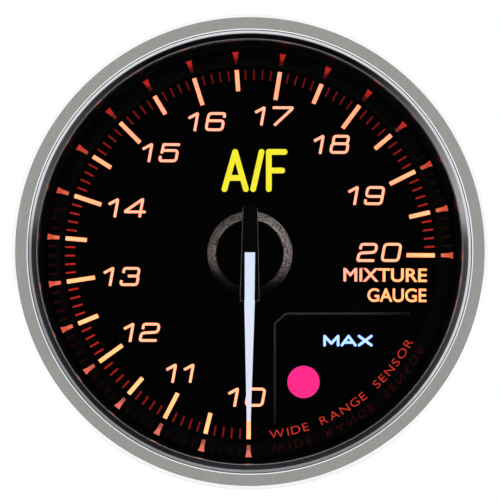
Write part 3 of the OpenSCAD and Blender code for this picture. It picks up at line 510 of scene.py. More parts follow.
acetal = finish("acetal", (0.8, 0.77, 0.68), rough=0.45, depth=0.2)
motor_shell = finish("motor_shell", (0.72, 0.72, 0.68), rough=0.5, grain=4200.0, depth=0.4)
motor_base = finish("motor_base", (0.04, 0.04, 0.045), rough=0.5, grain=4200.0, depth=0.4)
ferrite = finish("ferrite", (0.07, 0.07, 0.075), rough=0.62, metal=0.3, mottle=0.2, depth=0.5)
lamination = finish("lamination", (0.42, 0.42, 0.44), rough=0.36, metal=1.0, mottle=0.12)
copper = finish("copper", (0.58, 0.23, 0.09), rough=0.28, metal=1.0, mottle=0.14, patch=900.0)
sleeve_grey = finish("sleeve_grey", (0.06, 0.07, 0.12), rough=0.35, mottle=0.1)
acrylic = finish("acrylic", (0.85, 0.88, 0.9), rough=0.12, spread=0.04, mottle=0.03, depth=0.05)

amber_light = lit("amber_light", (2.3, 0.615, 0.39), (2.4, 0.69, 0.36))
tick_light = lit("tick_light", (2.3, 0.50, 0.27), (2.5, 0.73, 0.30), 15.0, 26.0)
legend_light = lit("legend_light", (2.2, 0.56, 0.39), (2.4, 0.69, 0.26), 13.5, 20.0)
minor_light = lit("minor_light", (0.43, 0.016, 0.018), (0.47, 0.018, 0.014), dim=0.26)
# painted reflection of the short ticks in the gloss foot, glowing, and dark at the top
short_tick_reflection_light = lit("short_tick_reflection_light", (0.014, 0.0007, 0.0006), (0.016, 0.0008, 0.0006), dim=0.0,
                  base=(0.001, 0.001, 0.001))
arc_light = lit("arc_light", (0.50, 0.020, 0.014), (0.56, 0.032, 0.018))
# painted reflection of the arc words in the gloss foot, glowing
words_reflection_light = lit("words_reflection_light", (0.020, 0.0012, 0.0010), (0.024, 0.0014, 0.0011))
blue_light = lit("blue_light", (0.60, 0.95, 2.4), (0.58, 0.92, 2.4))
yellow_ink = lit("yellow_ink", (0.90, 0.80, 0.03), (0.92, 0.76, 0.03), base=(0.05, 0.045, 0.004))
pink_light = lit("pink_light", (1.0, 0.024, 0.27), (1.0, 0.022, 0.25), base=(0.05, 0.002, 0.01))


def make_blade_light():
    """White light that enters at the root of the blade and pales towards the tip."""
    b = Coat("blade_light")
    _, z = b.on_dial()
    run = b.ramp(z, 0.0, -21.0)
    return b.painted(glow=b.mix(run, (0.64, 0.74, 0.92), (0.72, 0.74, 0.86)), strength=1.0,
                     base=(0.05, 0.05, 0.06), rough=0.4, specular=0.1)


def make_frame_ink():
    """A dark grey printed line that fades out at both of its ends."""
    b = Coat("frame_ink")
    x, z = b.on_dial()
    right = b.ramp(x, 12.5, 20.5, 1.0, 0.0, smooth=True)
    low = b.ramp(z, -14.5, -21.5, 1.0, 0.0, smooth=True)
    ink = b.mix(b.times(right, low), (0.003, 0.003, 0.0035), (0.013, 0.013, 0.015))
    return b.painted(base=ink, rough=0.6, specular=0.1)


def make_clear_lens():
    """A coated clear disc: it shows only what it mirrors, and more of that at a slant."""
    b = Coat("clear_lens")
    slant = b.add("ShaderNodeFresnel", {"IOR": 1.16}).outputs[0]
    return b.painted(alpha=b.math("ADD", slant, 0.004, clamp=True), base=(0.96, 0.97, 1.0),
                     metal=1.0, rough=0.03)


def make_bezel_slope():
    """Polished metal with painted reflections and shade in its colour: a bright outer band, and a
    dark inner band that is black at the top.
    """
    b = Coat("bezel_slope_reflections")
    x, z = b.on_dial()
    bright = b.ramp(b.reach(x, z), 27.44, 27.64, smooth=True)
    # painted shade: the outer band darkens below and towards the lower left
    shade_below = b.ramp(z, -14.0, -25.0, smooth=True)
    side = b.ramp(b.plus(x, z), -18.0, -30.0, smooth=True)
    right = b.ramp(x, -10.0, 26.0, smooth=True)
    outer = b.mix(right, (0.66, 0.66, 0.70), (0.62, 0.62, 0.64))
    outer = b.mix(shade_below, outer, (0.24, 0.235, 0.255))
    outer = b.mix(side, outer, (0.27, 0.27, 0.29))
    # painted reflection: the inner band is black at the top and lighter below and to the right
    low = b.ramp(z, 24.0, -20.0)
    inner = b.mix(low, (0.0025, 0.0025, 0.003), (0.20, 0.192, 0.21))
    level = b.times(right, b.ramp(z, 24.0, 4.0, smooth=True))
    inner = b.mix(level, inner, (0.30, 0.29, 0.31))
    return b.painted(base=b.mix(bright, inner, outer), metal=1.0, rough=0.13)


def make_hub_blast():
    """Dark sandblasted metal whose grain holds painted glints, sparkling at the top, with painted
    shade at the foot and a little at the upper left.
    """
    b = Coat("hub_blast")
    x, z = b.on_dial()
    # random grain in the colour, brightened into painted glints
    grain_and_glints = b.ramp(b.noise(4300.0, 1.0), 0.40, 0.62, 0.3, 1.9)
    # painted shade: darker towards the foot, and a little at the upper left
    shade = b.ramp(b.plus(z, b.times(x, 0.12)), -4.0, 0.5, smooth=True)
    corner = b.times(b.minus(z, x), 0.7)
    shade = b.times(shade, b.ramp(corner, 2.5, 5.0, 1.0, 0.45, smooth=True))
    height = b.shared(GRAIN, scale=4200.0, depth=3.0)["Height"]
    return b.painted(base=b.dimmed((0.116, 0.098, 0.091), b.times(grain_and_glints, shade)), metal=0.2,
                     rough=0.6, specular=0.1, normal=b.relief(height))


def make_long_tick_reflection_light():
    """Red wedges that glow as painted reflections of the long ticks: dim inside at the top, pale
    and even at the sides, pale outside low down.
    """
    b = Coat("long_tick_reflection_light")
    x, z = b.on_dial()
    outside = b.ramp(b.reach(x, z), 24.7, 25.3, smooth=True)
    top = b.ramp(z, 4.0, 20.0, smooth=True)
    low_down = b.ramp(z, -8.0, -20.0, smooth=True)
    outer = b.mix(top, (0.70, 0.085, 0.045), (0.44, 0.015, 0.011))
    inner = b.mix(top, (0.84, 0.16, 0.085), (0.06, 0.003, 0.003))
    inner = b.mix(low_down, inner, (0.42, 0.09, 0.07))
    outer = b.mix(low_down, outer, (0.82, 0.17, 0.12))
    return b.painted(glow=b.mix(outside, inner, outer), strength=1.0,
                     base=(0.002, 0.001, 0.001), rough=0.5, specular=0.05)


long_tick_reflection_light, hub_blast, bezel_slope_reflections = make_long_tick_reflection_light(), make_hub_blast(), make_bezel_slope()
blade_light, frame_ink, clear_lens = make_blade_light(), make_frame_ink(), make_clear_lens()


# Camera, light and floor

VIEW_DISTANCE = 600.0     # from the bezel's front
VIEW_WIDTH = 62.87        # what the picture shows across, at the bezel's front
SENSOR = 36.0
FLOOR_GAP = 4.0           # the floor lies this far below the gauge
FLOOR_RADIUS = 1500.0
FLOOR_FADE = (45 * MM, 220 * MM)
FILL_LIGHT = 0.16         # the world's own light on the gauge
FRONT_ROOM = 0.02         # what a mirror shows of the room in front, where behind is 1

# Name, place, width and height in metres, watts
LAMPS = (("left_box", (-0.95, -0.62, 0.25), (0.5, 0.9), 22.0),
         ("right_box", (0.95, -0.62, 0.20), (0.5, 0.9), 22.0),
         ("top_box", (0.0, -0.55, 1.0), (0.9, 0.45), 20.0))


def make_camera():
    """Almost square on, from a little below."""
    drop = math.radians(2.6)
    target = Vector((0.01, -BEZEL_FRONT, 0.14)) * MM
    away = Vector((0, -math.cos(drop), -math.sin(drop)))
    data = bpy.data.cameras.new("camera")
    data.sensor_width = SENSOR
    data.lens = VIEW_DISTANCE * SENSOR / VIEW_WIDTH
    data.clip_start = 0.01
    data.clip_end = 20.0
    camera = shown("camera", data)
    camera.matrix_world = (Matrix.Translation(target + away * VIEW_DISTANCE * MM)
                           @ away.to_track_quat("Z", "Y").to_matrix().to_4x4()
                           @ Matrix.Rotation(ROLL, 4, "Z"))
    bpy.context.scene.camera = camera


def soft_box(name, at, size, watts):
    data = bpy.data.lights.new(name, "AREA")
    data.shape = "RECTANGLE"
    data.size, data.size_y = size
    data.energy = watts
    lamp = shown(name, data)
    lamp.location = at
    lamp.rotation_euler = (-Vector(at)).to_track_quat("-Z", "Y").to_euler()


def make_world():
    """White to the camera, dim as a light, and for mirrors a room that is bright at the back."""
    world = bpy.data.worlds.new("studio")
    bpy.context.scene.world = world
    world.use_nodes = True
    b = Bench(world.node_tree)
    world.node_tree.nodes.clear()
    path = b.add("ShaderNodeLightPath").outputs
    _, depth, _ = b.axes(b.add("ShaderNodeTexCoord").outputs["Generated"])
    room = b.ramp(depth, -0.45, -0.18, FRONT_ROOM, 1.0, smooth=True)
    seen = b.math("MAXIMUM", path["Is Camera Ray"], path["Is Transmission Ray"])
    level = b.plus(b.times(path["Is Glossy Ray"], room),
                   b.times(b.minus(1.0, path["Is Glossy Ray"]), FILL_LIGHT))
    level = b.plus(b.times(level, b.minus(1.0, seen)), seen)
    sky = b.add("ShaderNodeBackground", {"Color": (1, 1, 1), "Strength": level})
    b.add("ShaderNodeOutputWorld", {"Surface": sky.outputs[0]})


def make_floor_finish():
    """Pale floor that keeps the shadow near the gauge and runs out into the white."""
    b = Coat("floor_pale")
    x, y, _ = b.axes(b.places())
    path = b.add("ShaderNodeLightPath").outputs
    seen = b.math("MAXIMUM", path["Is Camera Ray"], path["Is Transmission Ray"])
    far_off = b.times(b.ramp(b.reach(x, y), *FLOOR_FADE, smooth=True), seen)
    out = b.math("MAXIMUM", far_off, b.times(path["Is Glossy Ray"], 0.85))
    return b.painted(base=b.mix(out, (0.66, 0.66, 0.66), (0, 0, 0)), glow=(1, 1, 1),
                     strength=out, rough=0.8, specular=0.1)


def make_floor():
    bm = bmesh.new()
    bmesh.ops.create_circle(bm, cap_ends=True, segments=96, radius=FLOOR_RADIUS)
    bmesh.ops.rotate(bm, cent=(0, 0, 0), matrix=Matrix.Rotation(math.pi / 2, 3, "X"),
                     verts=bm.verts)
    moved(bm, y=cad_low[2] / MM - FLOOR_GAP)
    bmesh.ops.transform(bm, matrix=FACE, verts=bm.verts)
    bmesh.ops.recalc_face_normals(bm, faces=bm.faces)
    mesh = bpy.data.meshes.new("floor")
    bm.to_mesh(mesh)
    bm.free()
    mesh.materials.append(make_floor_finish())
    shown("floor", mesh)


make_camera()
make_world()
make_floor()
for lamp in LAMPS:
    soft_box(*lamp)
bpy.context.scene.view_settings.view_transform = "Standard"


# Bezel, lens and surround

def make_bezel():
    """The wide ring: satin front between polished edges, fine groove, mirror slope and lip."""
    bore, inside, polish, front = 26.55, 26.72, 27.84, BEZEL_FRONT
    slope = [(polish, front - 0.12), (27.73, front - 0.22), (27.61, front - 0.34),
             (27.49, front - 0.45), (27.20, front - 0.56), (26.88, front - 0.67)]
    lip = [(26.80, front - 0.745), (inside, front - 1.00), (inside, LENS_FRONT)]
    profile = [(bore, 0.0), (RIM - 0.15, 0.0), (RIM, 0.2), (RIM, front - 0.95),
               (RIM - 0.1, front - 0.62), (29.52, front), (28.08, front), (27.96, front - 0.11),
               (27.95, front - 0.26), (27.86, front - 0.26), *slope, *lip,
               (SEAT_RADIUS, LENS_FRONT), (SEAT_RADIUS, SEAT_BACK), (bore, SEAT_BACK)]
    bm = turned(profile, steps=360)
    soften(bm, 0.02, angle=0.9)
    looks = [bezel_satin, bezel_polish, bezel_groove_shade, bezel_black, bezel_side, bezel_slope_reflections,
             bezel_lip]
    # the inner radius of each band of the front and its look, from the rim inwards
    bands = ((29.5, bezel_polish), (28.07, bezel_satin), (27.955, bezel_polish),
             (27.845, bezel_groove_shade), (26.87, bezel_slope_reflections), (26.67, bezel_lip), (0.0, bezel_black))
    for face in bm.faces:
        x, y, z = face.calc_center_median()
        band = next(look for inner, look in bands if math.hypot(x, y) > inner)
        face.material_index = looks.index(band if z > front - 1.2 else bezel_side)
    piece(bm, "bezel_ring", looks, ["bezel"], smooth=15)


def make_surround():
    """Gloss black ring from the lens down to the dial, with a groove round its foot."""
    foot, groove, top = FOOT_FRONT, FOOT_FRONT - 0.35, DIAL_FRONT + 0.005
    inner, outer, wall = 24.03, 26.2, 26.70
    profile = [(inner, top), (inner, foot), (25.94, foot), (25.94, groove), (wall, groove),
               (wall, LEDGE), (27.9, LEDGE), (27.9, SURROUND_BACK), (outer, SURROUND_BACK),
               (outer, DIAL_BACK), (24.16, DIAL_BACK), (24.16, top)]
    bm = turned(profile, steps=300)
    soften(bm, 0.025, angle=0.9)
    piece(bm, "surround_ring", gloss_black, ["dial_surround"], smooth=25)


make_bezel()
make_surround()
dress("lens", clear_lens)
dress("lens_gasket", rubber)


# Dial print

PRINT = DIAL_FRONT + 0.005
SLANT = math.tan(math.radians(10.1))

# The figures, in pixels: stroke width, lowest and highest centre line, and half the width
STROKE = 2.62
LOW_Y, HIGH_Y, HALF = 1.5, 17.8, 8.1

# Centre lines of the figures before they are slanted: (points, corner radius, closed)
FIGURES = {
    "0": [([(-HALF, LOW_Y), (HALF, LOW_Y), (HALF, HIGH_Y), (-HALF, HIGH_Y)], 3.7, True)],
    "1": [([(-8.3, 12.9), (-0.1, HIGH_Y), (0, 0)], 0.5, False)],
    "2": [([(-7.5, 12.8), (-7.5, HIGH_Y), (HALF, HIGH_Y), (HALF, 9.9), (-8.1, 8.9),
            (-8.3, LOW_Y)], 3.6, False), ([(-8.3, LOW_Y), (8.3, LOW_Y)], 0, False)],
    "3": [([(-7.5, 13.2), (-7.5, HIGH_Y), (7.6, HIGH_Y), (7.6, 10.1), (-2.4, 10.1)], 2.9, False),
          ([(-2.4, 10.1), (HALF, 10.1), (HALF, LOW_Y), (-HALF, LOW_Y), (-HALF, 5.9)], 2.9, False)],
    "4": [([(5.0, 5.4), (-15.2, 5.4), (-15.4, 6.1), (-0.6, HIGH_Y), (0, HIGH_Y), (0, 0)], 0.5,
           False)],
    "5": [([(9.2, HIGH_Y), (-7.0, HIGH_Y), (-7.4, 8.9)], 0.4, False),
          ([(-6.9, 11.3), (-5.4, 11.9), (HALF, 11.9), (HALF, LOW_Y), (-HALF, LOW_Y),
            (-HALF, 6.3)], 3.2, False)],
    "6": [([(8.0, 13.6), (8.0, HIGH_Y), (-HALF, HIGH_Y), (-HALF, LOW_Y), (HALF, LOW_Y),
            (HALF, 10.5), (-HALF, 10.5)], 3.4, False)],
    "7": [([(-10.2, HIGH_Y), (9.4, HIGH_Y), (9.3, 16.6), (-5.4, 0.0)], 0.5, False)],
    "8": [([(-7.3, 10.3), (7.3, 10.3), (7.3, HIGH_Y), (-7.3, HIGH_Y)], 2.8, True),
          ([(-HALF, LOW_Y), (HALF, LOW_Y), (HALF, 10.3), (-HALF, 10.3)], 3.2, True)],
    "9": [([(-8.0, 5.7), (-8.0, LOW_Y), (HALF, LOW_Y), (HALF, HIGH_Y), (-HALF, HIGH_Y),
            (-HALF, 8.8), (HALF, 8.8)], 3.4, False)],
}

# Each number: (figure, x of its middle or stem, y of its foot), in pixels of the picture
NUMBERS = [
    [("1", 234.5, 406.7), ("0", 253.5, 406.9)], [("1", 172.5, 382.8), ("1", 190.05, 382.8)],
    [("1", 130.0, 342.0), ("2", 148.0, 342.1)], [("1", 109.9, 286.0), ("3", 128.5, 286.3)],
    [("1", 114.6, 217.3), ("4", 139.5, 217.4)], [("1", 148.6, 162.0), ("5", 167.3, 162.3)],
    [("1", 194.5, 131.0), ("6", 213.6, 131.1)], [("1", 261.2, 125.2), ("7", 279.7, 125.3)],
    [("1", 320.1, 153.8), ("8", 338.3, 153.9)], [("1", 354.4, 205.0), ("9", 372.7, 205.3)],
    [("2", 365.5, 262.2), ("0", 389.6, 262.2)],
]

# Centre lines of bold capitals, one unit tall: (width, lines)
CAPITALS = {
    "M": (1.15, [[(0, 0), (0, 1), (0.575, 0.2), (1.15, 1), (1.15, 0)]]),
    "A": (1.15, [[(0, 0), (0.575, 1), (1.15, 0)], [(0.22, 0.3), (0.93, 0.3)]]),
    "X": (1.05, [[(0, 0), (1.05, 1)], [(0, 1), (1.05, 0)]]),
    "F": (0.85, [[(0, 0), (0, 1), (0.85, 1)], [(0, 0.5), (0.72, 0.5)]]),
    "/": (0.45, [[(0, 0), (0.45, 1)]]),
}

# Places in the picture: left, top, right, bottom, in pixels
UPPER_LEGEND = (343.5, 268.2, 426.8, 282.3)
LOWER_LEGEND = (367.5, 288.4, 426.2, 302.4)
PEAK_WORD = (323.2, 335.0, 372.5, 346.6)
UNIT_WORD = (221.5, 149.0, 287.5, 192.0)
FRAME_CORNERS = ((274.7, 424), (274.7, 323.5), (286.2, 313.8), (410, 313.8))

ARC_TEXT = "WIDE RANGE SENSOR"
ARC_SWEEP = (173.4, 117.8)    # degrees clockwise from the top, where the words start and end
WORD_GAP = 0.9
CORNER_STEPS = 8
CORNER_SHARE = 0.48           # a rounded corner takes no more than this of a straight
LAMP_X, LAMP_Y, LAMP_RADIUS = 6.95, -16.25, 2.05
BARE_STEPS = range(39, 88)    # the steps of the scale beside which the foot shows no marks


def at_pixel(x, y):
    """The place on the dial that a pixel of the picture shows."""
    across, up = (x - PX_X) * PX, (PX_Y - y) * PX
    return Vector((across * math.cos(ROLL) - up * math.sin(ROLL),
                   up * math.cos(ROLL) + across * math.sin(ROLL), 0))


def eased(points, radius, closed):
    """The line with its corners turned into short arcs."""
    line = [Vector((x, y, 0)) for x, y in points]
    if radius <= 0:
        return line
    out = []
    for i, here in enumerate(line):
        if not closed and i in (0, len(line) - 1):
            out.append(here)
            continue
        a, b = line[i - 1] - here, line[(i + 1) % len(line)] - here
        reach = min(radius / math.tan(a.angle(b) / 2), a.length * CORNER_SHARE,
                    b.length * CORNER_SHARE)
        start, end = here + a.normalized() * reach, here + b.normalized() * reach
        for step in range(CORNER_STEPS + 1):
            t = step / CORNER_STEPS
            out.append((1 - t) ** 2 * start + 2 * t * (1 - t) * here + t ** 2 * end)
    return out


def stroke(points, width, closed=False, rise=0.05):
    """A flat printed stroke along a line."""
    curve = bpy.data.curves.new("stroke", "CURVE")
    curve.dimensions = "3D"
    curve.bevel_depth = width / 2
    curve.bevel_resolution = 2
    curve.use_fill_caps = True
    spline = curve.splines.new("POLY")
    spline.points.add(len(points) - 1)
    for spot, point in zip(spline.points, points):
        spot.co = (point.x, point.y, 0, 1)
    spline.use_cyclic_u = closed
    bm = baked(curve)
    bmesh.ops.scale(bm, vec=(1, 1, rise / width), verts=bm.verts)
    return bm


def round_dot(spot, width, rise=0.05):
    """The rounded end or corner of a stroke."""
    bm = bmesh.new()
    bmesh.ops.create_uvsphere(bm, u_segments=24, v_segments=8, radius=width / 2)
    bmesh.ops.scale(bm, vec=(1, 1, rise / width), verts=bm.verts)
    return moved(bm, spot.x, spot.y)


def make_numbers():
    parts = []
    for figure, x, y in sum(NUMBERS, []):
        left, foot, _ = at_pixel(x, y)
        for points, radius, closed in FIGURES[figure]:
            line = [Vector((left + (p.x + p.y * SLANT) * PX, foot + p.y * PX, 0))
                    for p in eased(points, radius, closed)]
            parts.append(stroke(line, STROKE * PX, closed))
    piece(moved(joined(parts), z=PRINT), "scale_numbers", amber_light, smooth=0)


def lettering(text, **shape):
    """Plain letters as a flat mesh."""
    font = bpy.data.curves.new("letters", "FONT")
    font.body = text
    font.extrude = 0.01
    for key, value in shape.items():
        setattr(font, key, value)
    bm = baked(font)
    bmesh.ops.remove_doubles(bm, verts=bm.verts, dist=MERGE)
    return bm


def legend(text, name, box, rise=0.03):
    """Plain words that fill a box of the picture."""
    bm = lettering(text, bevel_depth=0.016)
    low = Vector([min(v.co[i] for v in bm.verts) for i in range(3)])
    high = Vector([max(v.co[i] for v in bm.verts) for i in range(3)])
    left, top, _ = at_pixel(box[0], box[1])
    right, bottom, _ = at_pixel(box[2], box[3])
    size = ((right - left) / (high.x - low.x), (top - bottom) / (high.y - low.y),
            rise / (high.z - low.z))
    moved(bm, -high.x, -low.y, -low.z)
    bmesh.ops.scale(bm, vec=size, verts=bm.verts)
    piece(moved(bm, right, bottom, DIAL_FRONT), name, legend_light, smooth=0)


def bold_word(text, box, name, look, weight, share, height):
    """Capitals of one stroke's weight in pixels, set in a box of the picture. Share is how
    wide they are for their height."""
    left, top, right, bottom = box
    tall = bottom - top - weight
    widths = [CAPITALS[char][0] * tall * share for char in text]
    space = (right - left - weight - sum(widths)) / (len(text) - 1)
    parts, x = [], left + weight / 2
    for char, width in zip(text, widths):
        for line in CAPITALS[char][1]:
            points = [at_pixel(x + u * share * tall, bottom - weight / 2 - v * tall)
                      for u, v in line]
            parts += [stroke(pair, weight * PX) for pair in zip(points, points[1:])]
            parts += [round_dot(point, weight * PX) for point in points]
        x += width + space
    piece(moved(joined(parts), z=height), name, look, smooth=0)


def make_frame_line():
    """The dark grey line that sets off the lower right of the dial."""
    bm = stroke([at_pixel(x, y) for x, y in FRAME_CORNERS], 0.33, rise=0.03)
    piece(moved(bm, z=DIAL_FRONT), "frame_line", frame_ink, smooth=0)


def arc_letter(char, height):
    """One wide capital with its foot on y = 0 and its left side on x = 0, and its width."""
    capital, widen, thicken = 0.7, 1.25, 1.5
    bm = lettering(char, offset=-0.006)
    low = min(v.co.x for v in bm.verts)
    wide = max(v.co.x for v in bm.verts) - low
    size = height / capital
    moved(bm, x=-low)
    bmesh.ops.scale(bm, vec=(size * widen, size, thicken), verts=bm.verts)
    return bm, wide * size * widen


def arc_words(name, look, radius, height, depth, flipped=False):
    """Thin red words that run anticlockwise along the foot of the dial, or, flipped, their painted
    reflection in the gloss foot.
    """
    cut = [(None, WORD_GAP) if char == " " else arc_letter(char, height) for char in ARC_TEXT]
    start, end = (math.radians(angle) for angle in ARC_SWEEP)
    middle_radius = radius + height / 2
    room = (start - end) * middle_radius - sum(width for _, width in cut)
    parts, along = [], 0.0
    for bm, width in cut:
        if bm is not None:
            if flipped:
                bmesh.ops.scale(bm, vec=(1, -1, 1), verts=bm.verts)
                bmesh.ops.reverse_faces(bm, faces=bm.faces)
                moved(bm, y=height)
            moved(bm, x=-width / 2, y=-(radius + height))
            middle = start - (along + width / 2) / middle_radius
            parts.append(moved(bm, turn=math.pi - middle))
        along += width + room / (len(cut) - 1)
    piece(moved(joined(parts), z=depth), name, look, smooth=0)


def scale_marks(steps, half, low, high):
    """Flat marks of one outline, given as (radius, half its width), at steps of the scale."""
    outline = [(r, -w) for r, w in half] + [(r, w) for r, w in reversed(half)]
    return joined([moved(plate(outline, low, high), turn=math.radians(-90 - STEP_ANGLE * step))
                   for step in steps])


def make_long_tick_reflections():
    """Glowing red wedges on the gloss foot, one at every long tick: painted reflections of the
    ticks.
    """
    steps = range(0, SCALE_STEPS + 1, LONG_EVERY)
    bm = scale_marks(steps, [(24.35, 0.22), (25.35, 0.27), (25.87, 0.42)], FOOT_FRONT - 0.02,
                     FOOT_FRONT + 0.02)
    piece(bm, "foot_wedges", long_tick_reflection_light, ["foot_marks"], smooth=0)


def make_short_tick_reflections():
    """Painted reflections of the short ticks in the gloss foot: faint red marks that glow, but
    none at its top.
    """
    steps = [step for step in range(SCALE_STEPS + 1)
             if step % LONG_EVERY and step not in BARE_STEPS]
    bm = scale_marks(steps, [(24.55, 0.1), (25.7, 0.14)], FOOT_FRONT - 0.01, FOOT_FRONT + 0.012)
    piece(bm, "short_tick_reflections", short_tick_reflection_light, smooth=0)


def make_warning_lamp():
    """The pink lamp's low dome, which fills its hole in the dial."""
    top = DIAL_FRONT + 0.02
    dome = [(0.0, top + 0.13), (0.7, top + 0.12), (1.4, top + 0.08), (1.85, top + 0.03)]
    side = [(LAMP_RADIUS, top - 0.03), (LAMP_RADIUS, DIAL_BACK), (0.0, DIAL_BACK)]
    bm = moved(turned(dome + side, steps=96, loop=False), LAMP_X, LAMP_Y)
    piece(bm, "warning_window", pink_light, ["warning_lens"])


make_numbers()
legend("MIXTURE", "legend_upper", UPPER_LEGEND)
legend("GAUGE", "legend_lower", LOWER_LEGEND)
bold_word("MAX", PEAK_WORD, "peak_word", blue_light, weight=2.6, share=1.3,
          height=front_of("peak_window") + 0.01)
bold_word("A/F", UNIT_WORD, "unit_word", yellow_ink, weight=5.8, share=0.5,
          height=PRINT)
arc_words("arc_words", arc_light, radius=22.6, height=1.05, depth=DIAL_FRONT)
# the arc words' painted reflection, flipped, on the gloss foot
arc_words("arc_reflection", words_reflection_light, radius=24.4, height=1.0, depth=FOOT_FRONT, flipped=True)
make_frame_line()
make_long_tick_reflections()
make_short_tick_reflections()
make_warning_lamp()
dress("dial_plate", dial_ink)
dress("major_ticks", tick_light)
dress("minor_ticks", minor_light)
dress("peak_window", dial_ink)


# Pointer and hub

def make_hub_ring():
    """The sandblasted ring, bevelled down to its outer edge."""
    inner, outer, foot = 4.26, 5.42, HUB_BACK
    bm = turned([(inner, foot), (outer, foot), (outer, foot + 0.22), (5.30, foot + 0.42),
                 (4.52, foot + 1.08), (4.36, foot + 1.12), (inner, foot + 1.08)], steps=160)
    soften(bm, 0.04, angle=0.6)
    piece(bm, "hub_bevel", hub_blast, ["hub_ring"], "pointer", 35)


def make_hub_cap():
    """The black disc inside the ring."""
    radius, ease, top = 4.25, 0.2, HUB_FRONT
    bm = turned([(0.0, HUB_BACK), (radius, HUB_BACK), (radius, top - 0.25), (radius - ease, top),
                 (0.0, top)], steps=128, loop=False)
    soften(bm, 0.08, 3)
    piece(bm, "hub_disc", hub_black, ["hub_cap"], "pointer", 35)


def make_pointer_cover():
    """Black bar across the hub, with its two long edges chamfered and a slot for the blade."""
    end, tail = -6.1, 6.1
    bm = plate(both_sides([(0.62, tail), (0.95, 5.75), (1.25, end), (0.67, end), (0.73, 0.14)]),
               HUB_FRONT, COVER_FRONT)
    rim = [e for e in bm.edges if all(abs(v.co.z - COVER_FRONT) < FINE for v in e.verts)]
    bevelled(bm, rim, 0.07, 2)
    for face in bm.faces:
        # the chamfers of the two long edges, but not those of the slot
        if abs(face.calc_center_median().x) > 0.8 and 0.3 < face.normal.z < 0.97:
            face.material_index = 1
    piece(bm, "cover_bar", [cover_black, cover_rim], ["pointer_cover"], "pointer",
          20)


def make_blade():
    """The lit blade: its root lies in the cover's slot, and its tip reaches the ticks."""
    root, neck, tip = 0.08, -6.1, -21.3
    bm = plate(both_sides([(0.66, root), (0.62, neck + 0.05), (0.66, neck), (0.25, tip)]),
               HUB_FRONT, BLADE_FRONT)
    soften(bm, 0.06, angle=0.6)
    piece(bm, "blade_bar", blade_light, ["pointer_blade"], "pointer")


make_hub_ring()
make_hub_cap()
make_pointer_cover()
make_blade()
dress("pointer_boss", acrylic)
dress("output_shaft", zinc)
dress("output_gear", acetal)


# Housing and back

def make_housing():
    """The moulded can, with its flange in the bezel, screw posts inside and a key rib."""
    inner, outer, collar, step = 24.3, 25.7, 26.0, -3.2
    front, back = HOUSING_FRONT, CAN_BACK
    can = turned([(inner, front), (inner, back), (outer - 0.15, back), (outer, back + 0.15),
                  (outer, step - 0.15), (collar, step), (collar, 0.0), (26.4, 0.0),
                  (26.4, SEAT_BACK), (27.9, SEAT_BACK), (27.9, front)], steps=220)
    soften(can, 0.08, angle=0.6)
    post, post_place = (4.3, 4.4, 21.9), (22.3, 0, back + 11.0)
    posts = [moved(block(post, post_place, 0.15), turn=angle) for angle in POST_ANGLES]
    rib, rib_place = (0.5, 1.2, 16.0), (outer + 0.02, 0, back + 9.4)
    key = moved(block(rib, rib_place, 0.12), turn=math.radians(270))
    piece(joined([can, *posts, key]), "can_shell", can_black, ["housing"])


def make_rear_cover():
    """The back plate with a shallow rim, seats for its screws and ribs round the sockets."""
    low, top, outer, rise = COVER_BACK, COVER_TOP, 25.7, 0.22
    screw_radius, pad, rib_middle = 21.7, low + 0.3, low + 0.08
    parts = [turned([(0.0, top), (outer - 0.1, top), (outer, top - 0.12), (outer, low + 0.25),
                     (outer - 0.25, low), (24.4, low), (24.1, low + rise), (0.0, low + rise)],
                    steps=200, loop=False)]
    for angle in POST_ANGLES:
        seat = drum(2.3, low, pad, 40, 0.2)
        parts.append(moved(seat, screw_radius * math.cos(angle), screw_radius * math.sin(angle)))
    for side in (-1, 1):
        y = side * SOCKET_Y
        parts.append(moved(drum(4.3, low, pad, 56, 0.2), side * STUD_X))
        parts += [block((13.4, 0.7, 0.32), (0, y + way, rib_middle), 0.08)
                  for way in (-3.85, 3.85)]
        parts += [block((0.7, 8.4, 0.32), (way, y, rib_middle), 0.08) for way in (-6.7, 6.7)]
    piece(joined(parts), "back_plate", can_black, ["rear_cover"])


def thread(radius, low, high, pitch):
    """A threaded length of rod: rings of crests that climb by one pitch in a turn."""
    depth, sides, rings_a_pitch = 0.2, 28, 4
    bm = bmesh.new()
    bmesh.ops.create_circle(bm, cap_ends=False, segments=sides, radius=radius)
    moved(bm, z=low)
    rings = int((high - low) / pitch * rings_a_pitch)
    edges = list(bm.edges)
    for ring in range(1, rings + 1):
        out = bmesh.ops.extrude_edge_only(bm, edges=edges)["geom"]
        edges = [g for g in out if isinstance(g, bmesh.types.BMEdge)]
        height = low + (high - low) * ring / rings
        fade = min(1.0, (high - height) / pitch + 0.05, (height - low) / pitch + 0.05)
        for vert in (g for g in out if isinstance(g, bmesh.types.BMVert)):
            turn = (math.atan2(vert.co.y, vert.co.x) / (2 * math.pi)) % 1.0
            wave = 0.5 + 0.5 * math.cos(2 * math.pi * ((height - low) / pitch - turn))
            want = radius - depth * (1 - wave) * fade
            scale = want / math.hypot(vert.co.x, vert.co.y)
            vert.co = (vert.co.x * scale, vert.co.y * scale, height)
    bmesh.ops.holes_fill(bm, edges=[e for e in bm.edges if len(e.link_faces) == 1], sides=0)
    bmesh.ops.recalc_face_normals(bm, faces=bm.faces)
    return bm


def stud():
    """One threaded stud, with its flange inside the cover and a plain collar in its hole."""
    rod = thread(2.0, STUD_TIP, COVER_BACK + 0.3, 0.7)
    flange = drum(3.2, COVER_TOP, COVER_TOP + 1.4, 48)
    collar = drum(1.99, COVER_BACK - 0.05, COVER_TOP, 40)
    return moved(joined([rod, flange, collar]), x=STUD_X)


make_housing()
make_rear_cover()
piece(mirrored(stud), "stud_pair", zinc, ["studs"])
dress("rear_seal", rubber)
dress("cover_screws", zinc)


# Sockets

